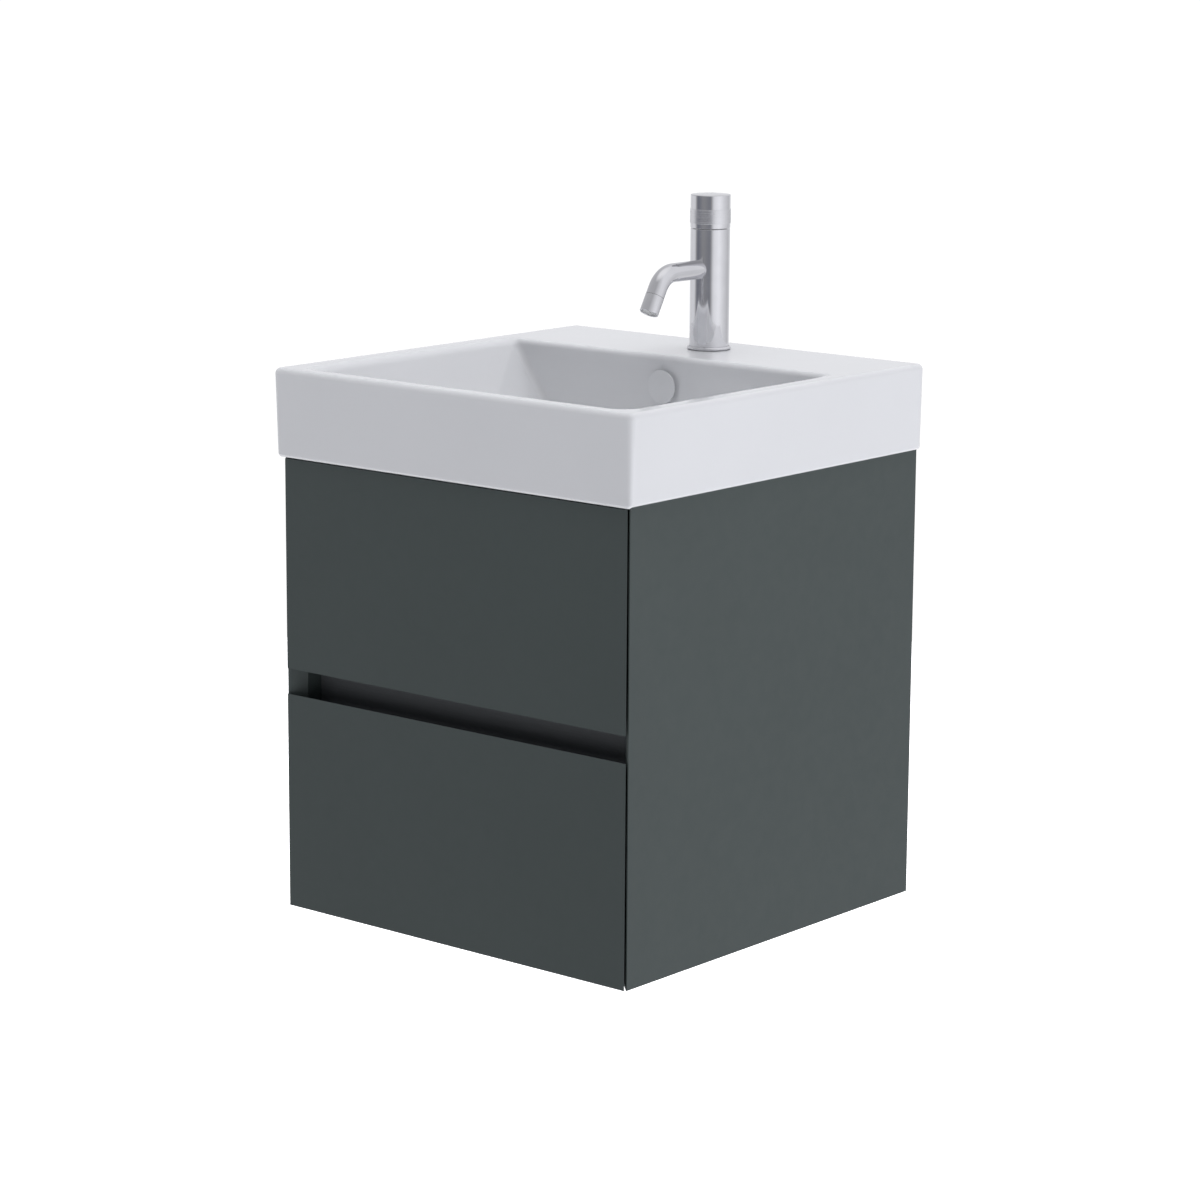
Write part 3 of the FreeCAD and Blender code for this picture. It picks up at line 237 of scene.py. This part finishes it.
def ease_edges(width, *names):
    """Breaks the sharp edges of parts that keep their designed shape."""
    for name in names:
        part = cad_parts[name]
        weld = part.modifiers.new("weld", "WELD")
        weld.merge_threshold = 0.00002
        edge = part.modifiers.new("eased_edges", "BEVEL")
        edge.width = width
        edge.segments = 2
        edge.angle_limit = math.radians(35)
        edge.use_clamp_overlap = True
        evened = part.modifiers.new("even_shading", "WEIGHTED_NORMAL")
        evened.keep_sharp = False


slate_lacquer, tree, surface, at = start_finish("slate_lacquer")
tint(tree, surface, mottle(tree, at, 9, 3), (0.0510, 0.0658, 0.0636), (0.0538, 0.0692, 0.0670))
polish(tree, surface, mottle(tree, at, 60, 3), 0.50, 0.58)
emboss(tree, surface, mottle(tree, at, 900, 2), 0.00002, 0.6)
surface.inputs["Specular IOR Level"].default_value = 0.42
lay_finish(slate_lacquer, "side_panel_left", "side_panel_right")
lacquered_edge = 0.00025
ease_edges(lacquered_edge, "side_panel_left", "side_panel_right")

# ---------------------------------------------------------------- bottom and rails
# Melamine-faced boards between the side panels: the bottom, a rail under the basin's front,
# and two rails against the wall. Beech dowels with glue hold them.
carcase_board, tree, surface, at = start_finish("carcase_board")
tint(tree, surface, mottle(tree, at, 14, 4), (0.052, 0.066, 0.064), (0.060, 0.075, 0.072))
polish(tree, surface, mottle(tree, at, 220, 3), 0.48, 0.62)
emboss(tree, surface, mottle(tree, at, 1400, 3), 0.00003, 0.7)
carcase = ("bottom_panel", "front_top_rail", "back_rail_lower", "back_rail_upper")
lay_finish(carcase_board, *carcase)
melamine_edge = 0.0004
ease_edges(melamine_edge, *carcase)

beech, tree, surface, at = start_finish("beech")
tint(tree, surface, mottle(tree, at, 260, 5, (0.08, 1, 1)), (0.52, 0.35, 0.19), (0.68, 0.49, 0.29))
polish(tree, surface, mottle(tree, at, 500, 3), 0.55, 0.75)
emboss(tree, surface, mottle(tree, at, 900, 4, (0.05, 1, 1)), 0.0001, 0.6)
lay_finish(beech, "carcase_dowels")

# ---------------------------------------------------------------- grip profile
# A C-shaped aluminium extrusion behind the finger gap, anodised a dull black, with fine drawing
# lines along it. Two zinc-plated angles screw it to the side panels.
black_anodised, tree, surface, at = start_finish("black_anodised")
drawn_lines = mottle(tree, at, 1500, 3, (0.01, 1, 1))
tint(tree, surface, drawn_lines, (0.098, 0.104, 0.109), (0.128, 0.136, 0.142))
polish(tree, surface, drawn_lines, 0.58, 0.70)
emboss(tree, surface, drawn_lines, 0.00003, 0.5)
surface.inputs["Metallic"].default_value = 0.1
lay_finish(black_anodised, "grip_profile")

zinc_steel, tree, surface, at = start_finish("zinc_steel")
spangle = add_step(tree, "ShaderNodeTexVoronoi", {"Vector": at, "Scale": 260.0}).outputs["Color"]
tint(tree, surface, spangle, (0.50, 0.51, 0.53), (0.63, 0.64, 0.66))
polish(tree, surface, mottle(tree, at, 300, 4), 0.30, 0.46)
emboss(tree, surface, mottle(tree, at, 1300, 2), 0.00002, 0.5)
surface.inputs["Metallic"].default_value = 1.0
lay_finish(zinc_steel, "grip_brackets")

# ---------------------------------------------------------------- hangers
# A zinc-plated steel hanger is screwed inside each side panel. Its hook reaches over a steel plate
# that is screwed to the wall.
lay_finish(zinc_steel, "cabinet_hangers", "hanger_hooks", "wall_plates")
ease_edges(0.0005, "cabinet_hangers")

# ---------------------------------------------------------------- drawer runners
# Three zinc-plated rails nest on each side of each drawer: one on the cabinet, one on the box
# and one between them that travels half as far.
lay_finish(zinc_steel, "cabinet_rails", "upper_middle_rails", "upper_drawer_rails",
           "lower_middle_rails", "lower_drawer_rails")

# ---------------------------------------------------------------- drawer boxes
# Grey melamine-faced boards, screwed and glued round a grooved-in base. The upper box is cut out
# at the rear for the trap, and a bent plastic wall closes the cut-out.
drawer_board, tree, surface, at = start_finish("drawer_board")
linen = mottle(tree, at, 700, 3, (1, 0.15, 1))
tint(tree, surface, linen, (0.105, 0.112, 0.112), (0.135, 0.143, 0.143))
polish(tree, surface, mottle(tree, at, 180, 3), 0.45, 0.6)
emboss(tree, surface, linen, 0.00004, 0.6)
for level in ("upper", "lower"):
    boards = [level + "_box_" + place for place in ("side_left", "side_right", "front", "base", "back")]
    lay_finish(drawer_board, *boards)
    ease_edges(melamine_edge, *boards)

grey_plastic, tree, surface, at = start_finish("grey_plastic")
tint(tree, surface, mottle(tree, at, 40, 3), (0.14, 0.145, 0.147), (0.16, 0.165, 0.167))
polish(tree, surface, mottle(tree, at, 400, 2), 0.42, 0.55)
emboss(tree, surface, mottle(tree, at, 1600, 2), 0.00003, 0.6)
lay_finish(grey_plastic, "upper_trap_surround")

# ---------------------------------------------------------------- drawer fronts
# Lacquered boards like the side panels, mitred at both ends. The edge along the finger gap is
# bevelled at the rear as a grip, and four screws from inside each box hold its front.
lay_finish(slate_lacquer, "upper_drawer_front", "lower_drawer_front")
ease_edges(lacquered_edge, "upper_drawer_front", "lower_drawer_front")
lay_finish(zinc_steel, "upper_front_screws", "lower_front_screws")

# ---------------------------------------------------------------- basin
# One fireclay casting, 500 mm square, with a sloping bowl, a flat rim and a wide deck at the wall,
# glazed white all over. It stands on the cabinet, its front edge hanging slightly lower as a lip,
# and is bolted to the wall.
corner_steps = 8
arc_steps = 8
basin_half = 0.24975
basin_front = 0.4998
basin_foot = 0.501
basin_top = 0.596
outer_edge = 0.0065
outer_corner = 0.0075
foot_edge = 0.004
front_lip = 0.0016
bowl_half = 0.222
bowl_front = 0.478
bowl_back = 0.142
bowl_floor = 0.516
lean_side = 0.054
lean_front = 0.024
floor_edge = 0.014
bowl_corner = 0.018
bowl_back_corner = 0.007
corner_loss = 0.8
hollow_half = 0.235
hollow_front = 0.486
hollow_back = 0.012
hollow_top = 0.584
hollow_front_top = 0.575
shell_back = 0.130
shell_foot = 0.504
waste_y = -0.29
waste_centre = Vector((0, waste_y))
waste_hole = 0.0225
tap_y = -0.0635
tap_hole = 0.0175
overflow_height = 0.5615
overflow_hole = 0.012
fixing_height = 0.546
fixing_hole = 0.007


def ring_of_points(sides, front, back, front_corner, back_corner):
    """A rounded rectangle of points, anticlockwise. Each of sides, front and back gives the distance
    from the middle or the wall and the height there. The corners pass from one to the next."""
    ring = []
    corners = [(1, front, sides, front_corner, -90), (1, sides, back, back_corner, 0),
               (-1, back, sides, back_corner, 90), (-1, sides, front, front_corner, 180)]
    for hand, before, after, radius, start in corners:
        toward_wall = start in (0, 90)
        centre_x = hand * (sides[0] - radius)
        centre_y = -back[0] - radius if toward_wall else -front[0] + radius
        for k in range(corner_steps + 1):
            turned = math.radians(start + 90 * k / corner_steps)
            height = before[1] + (after[1] - before[1]) * k / corner_steps
            ring.append((centre_x + radius * math.cos(turned), centre_y + radius * math.sin(turned),
                         height))
    return ring


def bowl_profile(lean, rim_radius, floor_radius):
    """Steps inwards and heights from the flat rim down one wall of the bowl to its floor."""
    depth = basin_top - bowl_floor
    bend = math.radians(90) - math.atan2(lean, depth)
    rim_run = rim_radius * math.tan(bend / 2)
    floor_run = floor_radius * math.tan(bend / 2)
    steps = []
    for k in range(arc_steps + 1):
        turned = bend * k / arc_steps
        steps.append((rim_radius * math.sin(turned) - rim_run,
                      basin_top - rim_radius * (1 - math.cos(turned))))
    for k in range(arc_steps + 1):
        turned = bend * (1 - k / arc_steps)
        steps.append((lean + floor_run - floor_radius * math.sin(turned),
                      bowl_floor + floor_radius * (1 - math.cos(turned))))
    return steps


def outer_profile(radius, taper, foot_radius, foot):
    """Insets and heights from the flat rim over the outer edge and down to the foot's height."""
    steps = []
    for k in range(arc_steps + 1):
        turned = math.radians(90) * k / arc_steps
        steps.append((radius * (1 - math.sin(turned)), basin_top - radius * (1 - math.cos(turned))))
    for k in range(arc_steps // 2 + 1):
        turned = math.radians(90) * k / (arc_steps // 2)
        steps.append((taper + foot_radius * (1 - math.cos(turned)),
                      foot + foot_radius * (1 - math.sin(turned))))
    return steps


def add_piece(name, mesh, finish, body, stands_for):
    """Shows a mesh as one piece of the object, in the place of its designed part."""
    mesh.name = name
    mesh.materials.append(finish)
    piece = bpy.data.objects.new(name, mesh)
    bpy.context.scene.collection.objects.link(piece)
    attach(piece, body)
    if stands_for:
        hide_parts(*stands_for)
    return piece


def join_rings(rings, closed=False):
    """A skin over rings of equally many points. Closed joins the last ring to the first."""
    mesh = bpy.data.meshes.new("skin")
    count = len(rings[0])
    points = [point for ring in rings for point in ring]
    faces = []
    for level in range(len(rings) - (0 if closed else 1)):
        low = level * count
        high = (level + 1) % len(rings) * count
        for k in range(count):
            after = (k + 1) % count
            faces.append((low + k, low + after, high + after, high + k))
    mesh.from_pydata(points, [], faces)
    work = bmesh.new()
    work.from_mesh(mesh)
    bmesh.ops.remove_doubles(work, verts=work.verts, dist=0.000001)
    bmesh.ops.recalc_face_normals(work, faces=work.faces)
    work.to_mesh(mesh)
    work.free()
    return mesh


def shade_softly(mesh, crease=32):
    """Smooth shading that stays crisp at edges sharper than the crease, in degrees."""
    mesh.shade_smooth()
    mesh.set_sharp_from_angle(angle=math.radians(crease))


def drill(mesh, holes):
    """Cuts round holes: each is a centre, a direction, a radius and a length. The bits are twisted
    a little, so that none of their edges lines up with an edge of the blank."""
    twist = Matrix.Rotation(0.02, 4, "Z")
    scrap = []
    piece = bpy.data.objects.new("blank", mesh)
    bpy.context.scene.collection.objects.link(piece)
    for centre, toward, radius, length in holes:
        bit_mesh = bpy.data.meshes.new("bit")
        work = bmesh.new()
        stand = Vector(toward).to_track_quat("Z", "Y").to_matrix().to_4x4() @ twist
        bmesh.ops.create_cone(work, cap_ends=True, segments=64, radius1=radius, radius2=radius,
                              depth=length, matrix=Matrix.Translation(centre) @ stand)
        work.to_mesh(bit_mesh)
        work.free()
        bit = bpy.data.objects.new("bit", bit_mesh)
        bpy.context.scene.collection.objects.link(bit)
        cutting = piece.modifiers.new("hole", "BOOLEAN")
        cutting.object = bit
        cutting.solver = "EXACT"
        scrap.append(bit)
    seen_shape = piece.evaluated_get(bpy.context.evaluated_depsgraph_get())
    drilled = bpy.data.meshes.new_from_object(seen_shape)
    for item in [piece] + scrap:
        bpy.data.objects.remove(item)
    return drilled


def keep_flats_flat(piece):
    """Weighs the shading by area, so that flats stay flat beside their rounded edges."""
    evened = piece.modifiers.new("even_shading", "WEIGHTED_NORMAL")
    evened.keep_sharp = True
    evened.weight = 90


rings = []
side_steps = bowl_profile(lean_side, 0.019, floor_edge)
front_steps = bowl_profile(lean_front, 0.011, floor_edge)
back_steps = bowl_profile(0.0, 0.0065, floor_edge)
for side_at, front_at, back_at in reversed(list(zip(side_steps, front_steps, back_steps))):
    corner = bowl_corner - min(side_at[0], 0) - max(side_at[0] - lean_side, 0) * corner_loss
    back_corner = bowl_back_corner - min(back_at[0], 0) - max(back_at[0], 0) * corner_loss
    rings.append(ring_of_points((bowl_half - side_at[0], side_at[1]),
                                (bowl_front - front_at[0], front_at[1]),
                                (bowl_back + back_at[0], back_at[1]), corner, max(back_corner, 0.002)))
side_steps = outer_profile(outer_edge, 0.003, foot_edge, basin_foot)
front_steps = outer_profile(outer_edge, 0.002, foot_edge, basin_foot - front_lip)
back_steps = outer_profile(outer_edge, 0.0, foot_edge, basin_foot)
for side_at, front_at, back_at in zip(side_steps, front_steps, back_steps):
    corner = max(outer_corner - side_at[0], 0.001)
    rings.append(ring_of_points((basin_half - side_at[0], side_at[1]),
                                (basin_front - front_at[0], front_at[1]),
                                (back_at[0], back_at[1]), corner, corner))
# The hollow underside, as half width, front, back, height, front height, front and rear corners.
for half, front, back, height, front_height, corner, back_corner in (
        (0.2425, 0.4936, 0.005, basin_foot, basin_foot, 0.002, 0.002),
        (hollow_half, hollow_front, hollow_back, basin_foot, basin_foot, 0.004, 0.002),
        (hollow_half, hollow_front, hollow_back, hollow_top, hollow_front_top, 0.004, 0.002),
        (0.230, 0.485, shell_back, hollow_top, hollow_front_top, 0.020, 0.020),
        (0.180, 0.466, shell_back, shell_foot, shell_foot, 0.020, 0.020)):
    rings.append(ring_of_points((half, height), (front, front_height), (back, height),
                                corner, back_corner))
for height in (shell_foot, bowl_floor):
    hole_ring = []
    for x, y, z in rings[0]:
        toward = (Vector((x, y)) - waste_centre).normalized() * waste_hole
        hole_ring.append((waste_centre.x + toward.x, waste_centre.y + toward.y, height))
    rings.append(hole_ring)
casting = join_rings(rings, closed=True)
casting = drill(casting, [((0, tap_y, 0.59), (0, 0, 1), tap_hole, 0.04),
                          ((0, -0.136, overflow_height), (0, 1, 0), overflow_hole, 0.03),
                          ((-0.14, -0.006, fixing_height), (0, 1, 0), fixing_hole, 0.03),
                          ((0.14, -0.006, fixing_height), (0, 1, 0), fixing_hole, 0.03)])
shade_softly(casting, 28)

white_glaze, tree, surface, at = start_finish("white_glaze")
tint(tree, surface, mottle(tree, at, 7, 2), (0.738, 0.745, 0.759), (0.758, 0.765, 0.779))
polish(tree, surface, mottle(tree, at, 25, 2), 0.018, 0.035)
surface.inputs["IOR"].default_value = 1.72
settled = emboss(tree, surface, mottle(tree, at, 26, 1), 0.0003, 0.12)
emboss(tree, surface, mottle(tree, at, 500, 2), 0.00001, 0.3, settled)
basin = add_piece("ceramic_basin", casting, white_glaze, "cabinet", ["basin"])
keep_flats_flat(basin)

# ---------------------------------------------------------------- overflow cover
# A round white-glazed button on a hollow stem that is pushed into the overflow hole.
# It is cut back behind its rim, so that a narrow dark line shows round it.


def turn_on_lathe(profile, place, segments=96):
    """A turned shape: the profile gives radius and height pairs round its own upright axis."""
    rings = []
    for radius, height in profile:
        ring = []
        for k in range(segments):
            angle = math.tau * k / segments
            ring.append(place @ Vector((radius * math.cos(angle), radius * math.sin(angle), height)))
        rings.append(ring)
    return join_rings(rings)


def round_over(profile, radii, steps=6):
    """Rounds the corners of a profile. Each corner has its own radius, 0 for none."""
    eased = []
    for k, (corner, radius) in enumerate(zip(profile, radii)):
        if not radius:
            eased.append(corner)
            continue
        here = Vector(corner)
        before = (Vector(profile[k - 1]) - here).normalized()
        after = (Vector(profile[k + 1]) - here).normalized()
        half = before.angle(after) / 2
        reach = radius / math.tan(half)
        middle = here + (before + after).normalized() * (radius / math.sin(half))
        start = here + before * reach - middle
        sweep = math.pi - 2 * half
        if before.x * after.y - before.y * after.x > 0:
            sweep = -sweep
        for n in range(steps + 1):
            angle = sweep * n / steps
            c, s = math.cos(angle), math.sin(angle)
            eased.append((middle.x + c * start.x - s * start.y, middle.y + s * start.x + c * start.y))
    return eased


def spot(x, y, z, toward=(0, 0, 1)):
    """A place and the direction that a turned piece points in."""
    return Matrix.Translation((x, y, z)) @ Vector(toward).to_track_quat("Z", "Y").to_matrix().to_4x4()


button = round_over([(0, 0.0058), (0.0186, 0.0055), (0.0186, 0.0044), (0.0128, 0.0040), (0.0119, 0.0006),
                     (0.0119, -0.0115), (0.0095, -0.0115), (0.0095, 0.002), (0, 0.002)],
                    [0, 0.0005, 0.0003, 0, 0, 0.0003, 0, 0, 0])
mesh = turn_on_lathe(button, spot(0, -bowl_back, overflow_height, (0, -1, 0)), 72)
shade_softly(mesh)
add_piece("overflow_button", mesh, white_glaze, "cabinet", ["overflow_cover"])

# ---------------------------------------------------------------- waste
# A chromed flange and a push-open cap over a slotted brass body, clamped through the bowl's floor
# by a rubber gasket and a brass nut.
chrome, tree, surface, at = start_finish("chrome")
cloud = mottle(tree, at, 55, 3)
tint(tree, surface, cloud, (0.64, 0.64, 0.66), (0.68, 0.68, 0.70))
polish(tree, surface, cloud, 0.045, 0.085)
emboss(tree, surface, mottle(tree, at, 420, 2), 0.000004, 0.25)
surface.inputs["Metallic"].default_value = 1.0

flange = round_over([(0.0201, 0), (0.032, 0), (0.032, 0.0012), (0.026, 0.003), (0.0201, 0.0022), (0.0201, 0)],
                    [0, 0.0003, 0.0006, 0.001, 0.0004, 0])
mesh = turn_on_lathe(flange, spot(0, waste_y, bowl_floor))
shade_softly(mesh)
add_piece("waste_rim", mesh, chrome, "cabinet", ["waste_flange"])

cap = round_over([(0, 0), (0.0292, 0), (0.03, 0.0012), (0.03, 0.0024), (0.022, 0.0036), (0, 0.004)],
                 [0, 0.0003, 0.0004, 0.0014, 0.004, 0])
cap_foot = 0.5193
mesh = turn_on_lathe(cap, spot(0, waste_y, cap_foot))
shade_softly(mesh)
add_piece("waste_button", mesh, chrome, "waste_cap", ["waste_cap"])

brass, tree, surface, at = start_finish("brass")
tint(tree, surface, mottle(tree, at, 90, 4), (0.52, 0.37, 0.16), (0.64, 0.48, 0.23))
polish(tree, surface, mottle(tree, at, 300, 3, (1, 1, 6)), 0.24, 0.40)
emboss(tree, surface, mottle(tree, at, 500, 2, (0.1, 0.1, 6)), 0.00003, 0.5)
surface.inputs["Metallic"].default_value = 1.0
lay_finish(brass, "waste_body", "waste_nut", "waste_plunger")

rubber, tree, surface, at = start_finish("rubber")
tint(tree, surface, mottle(tree, at, 120, 4), (0.018, 0.018, 0.019), (0.030, 0.030, 0.031))
polish(tree, surface, mottle(tree, at, 260, 3), 0.65, 0.85)
emboss(tree, surface, mottle(tree, at, 900, 3), 0.00008, 0.6)
lay_finish(rubber, "waste_gasket")

# ---------------------------------------------------------------- bottle trap
# Moulded white plastic: the dip tube, its nuts, the bottle with its screwed cup, and the pipe
# that goes into the wall through a chromed rosette.
white_plastic, tree, surface, at = start_finish("white_plastic")
tint(tree, surface, mottle(tree, at, 30, 3), (0.72, 0.725, 0.72), (0.78, 0.785, 0.78))
polish(tree, surface, mottle(tree, at, 250, 2), 0.30, 0.42)
emboss(tree, surface, mottle(tree, at, 1100, 2), 0.00003, 0.5)
surface.inputs["Subsurface Weight"].default_value = 0.05
surface.inputs["Subsurface Radius"].default_value = (0.004, 0.004, 0.004)
lay_finish(white_plastic, "trap_inlet_tube", "trap_union_nut", "trap_gland_nut", "trap_body", "trap_cup",
           "trap_outlet_nut", "trap_outlet_pipe")
lay_finish(chrome, "wall_rosette")

# ---------------------------------------------------------------- tap body
# A turned and chromed brass column on a rounded base ring, sealed to the deck by a flat rubber ring.
# Below the deck a stud, a horseshoe clamp and a nut hold it. A nickel-plated nut holds the plastic
# cartridge in its head.
tap_place = spot(0, tap_y, 0)
lay_finish(rubber, "tap_seal")
lay_finish(zinc_steel, "tap_stud", "tap_clamp")
lay_finish(brass, "tap_clamp_nut", "tap_spindle")
lay_finish(grey_plastic, "tap_cartridge")

nickel, tree, surface, at = start_finish("nickel")
tint(tree, surface, mottle(tree, at, 120, 3), (0.30, 0.30, 0.31), (0.38, 0.38, 0.39))
polish(tree, surface, mottle(tree, at, 300, 3), 0.28, 0.42)
emboss(tree, surface, mottle(tree, at, 600, 2, (0.1, 0.1, 6)), 0.00003, 0.5)
surface.inputs["Metallic"].default_value = 1.0
lay_finish(nickel, "tap_cartridge_nut")

ring = round_over([(0.0232, 0.5961), (0.0248, 0.5961), (0.0248, 0.600), (0.0222, 0.600), (0.0222, 0.5976),
                   (0.0232, 0.5976), (0.0232, 0.5961)],
                  [0, 0.0017, 0.0019, 0.0004, 0, 0, 0])
mesh = turn_on_lathe(ring, tap_place)
shade_softly(mesh)
add_piece("tap_foot_ring", mesh, chrome, "cabinet", ["tap_base_ring"])

column_radius = 0.022
column_foot = 0.5975
column_top = 0.7306
socket_radius = 0.0166
socket_floor = 0.7006
inlet_radius = 0.005
stud_radius = 0.0041
column = round_over([(0, column_foot), (column_radius, column_foot), (column_radius, column_top),
                     (socket_radius, column_top), (socket_radius, socket_floor), (0, socket_floor)],
                    [0, 0.0003, 0.0006, 0.0003, 0, 0])
mesh = turn_on_lathe(column, tap_place, 128)
mesh = drill(mesh, [((-0.0075, -0.0585, 0.60), (0, 0, 1), inlet_radius, 0.025),
                    ((0.0075, -0.0585, 0.60), (0, 0, 1), inlet_radius, 0.025),
                    ((0, -0.0725, 0.60), (0, 0, 1), stud_radius, 0.023)])
shade_softly(mesh)
body_piece = add_piece("tap_column", mesh, chrome, "cabinet", ["tap_body"])
keep_flats_flat(body_piece)

# ---------------------------------------------------------------- spout
# A bent chromed tube, brazed into the column, with a screwed aerator housing at its outlet.
# The housing has a fine joint line and a white plastic insert, crossed bars on a plate.
spout_radius = 0.0105
spout_sides = 64
bore_share = 0.81
spout_height = 0.6861
bend_radius = 0.03
bend_start = -0.1291
bend_middle = 0.6561
bend_turn = math.radians(60)
bend_steps = 24
sideways = Vector((1, 0, 0))
spout_path = [Vector((0, y, spout_height)) for y in (-0.0805, -0.097, -0.113)]
for k in range(bend_steps + 1):
    turned = bend_turn * k / bend_steps
    spout_path.append(Vector((0, bend_start - bend_radius * math.sin(turned),
                              bend_middle + bend_radius * math.cos(turned))))
bend_end = spout_path[-1]
outlet = Vector((0, -math.cos(bend_turn), -math.sin(bend_turn)))
spout_path += [bend_end + outlet * 0.005, bend_end + outlet * 0.0098]
rings = []
for k, centre in enumerate(spout_path):
    along = (spout_path[min(k + 1, len(spout_path) - 1)] - spout_path[max(k - 1, 0)]).normalized()
    over = sideways.cross(along)
    ring = []
    for n in range(spout_sides):
        angle = math.tau * n / spout_sides
        ring.append(centre + spout_radius * (math.cos(angle) * sideways + math.sin(angle) * over))
    rings.append(ring)
inner_rings = [[centre + (point - centre) * bore_share for point in ring]
               for centre, ring in zip(reversed(spout_path), reversed(rings))]
mesh = join_rings(rings + inner_rings, closed=True)
shade_softly(mesh)
add_piece("spout_tube", mesh, chrome, "cabinet", ["tap_spout"])

housing = round_over([(0.0071, 0.0), (0.0102, 0.0), (0.0102, 0.0004), (0.0106, 0.0005), (0.0106, 0.02),
                      (0.0092, 0.02), (0.0089, 0.0185), (0.0089, 0.0062), (0.0071, 0.0062), (0.0071, 0.0)],
                     [0, 0, 0, 0.0002, 0.0006, 0.0003, 0, 0, 0, 0])
aerator_place = spot(*(bend_end + outlet * 0.01), outlet)
mesh = turn_on_lathe(housing, aerator_place, 72)
shade_softly(mesh)
add_piece("aerator_housing", mesh, chrome, "cabinet", ["tap_aerator"])

grid_radius = 0.0088
bar_pitch = 0.0015
bar_width = 0.0007
bar_depth = 0.0010
bars = bmesh.new()
for k in range(-5, 6):
    across = bar_pitch * k
    half = math.sqrt(grid_radius ** 2 - across ** 2)
    for turned in (0, math.pi / 2):
        stand = Matrix.Rotation(turned, 4, "Z") @ Matrix.Translation((across, 0, 0.0182))
        size = Matrix.Diagonal((bar_width, 2 * half, bar_depth, 1))
        bmesh.ops.create_cube(bars, size=1, matrix=aerator_place @ stand @ size)
bmesh.ops.create_cone(bars, cap_ends=True, segments=64, radius1=grid_radius, radius2=grid_radius,
                      depth=0.001, matrix=aerator_place @ Matrix.Translation((0, 0, 0.0173)))
mesh = bpy.data.meshes.new("spray_bars")
bars.to_mesh(mesh)
bars.free()
add_piece("spray_grid", mesh, white_plastic, "cabinet", [])

# ---------------------------------------------------------------- knob
# A chromed brass cap that turns on the cartridge, with a band of diamond knurling to grip
# and a fine gap to the column below.
knob_radius = 0.0222
knob_foot = 0.7314
knob_top = 0.768
knob_bore = 0.0186
knob_ceiling = 0.758
knurl_low = 0.7363
knurl_high = 0.7524
knurl_radius = 0.0226
knurl_root = 0.02245
knurl_depth = 0.00018
knurl_run_out = 0.0006
teeth = 120
steps_per_tooth = 6
band_rows = 48
knob_profile = round_over([(knob_bore, knob_foot), (knob_radius, knob_foot), (knob_radius, knurl_low)],
                          [0, 0.0003, 0])
for k in range(band_rows + 1):
    knob_profile.append((knurl_radius, knurl_low + (knurl_high - knurl_low) * k / band_rows))
knob_profile += round_over([(knob_radius, knurl_high), (knob_radius, knob_top), (0.004, 0.7677), (0, 0.7677)],
                           [0, 0.0007, 0, 0])
knob_profile += [(0, knob_ceiling), (knob_bore, knob_ceiling), (knob_bore, knob_foot)]
segments = teeth * steps_per_tooth
rings = []
for radius, height in knob_profile:
    in_band = radius == knurl_radius
    ring = []
    for k in range(segments):
        angle = math.tau * k / segments
        reach = radius
        if in_band:
            rise = (height - knurl_low) / (math.tau * knurl_radius / teeth)
            ways = [abs(((teeth * angle / math.tau + way * rise) % 1) * 2 - 1) for way in (-1, 1)]
            end = min(1, (height - knurl_low) / knurl_run_out, (knurl_high - height) / knurl_run_out)
            reach = knurl_root + knurl_depth * end * min(1, 1.5 * min(ways))
        ring.append(tap_place @ Vector((reach * math.cos(angle), reach * math.sin(angle), height)))
    rings.append(ring)
mesh = join_rings(rings)
shade_softly(mesh)
add_piece("knob_cap", mesh, chrome, "tap_knob", ["tap_knob"])
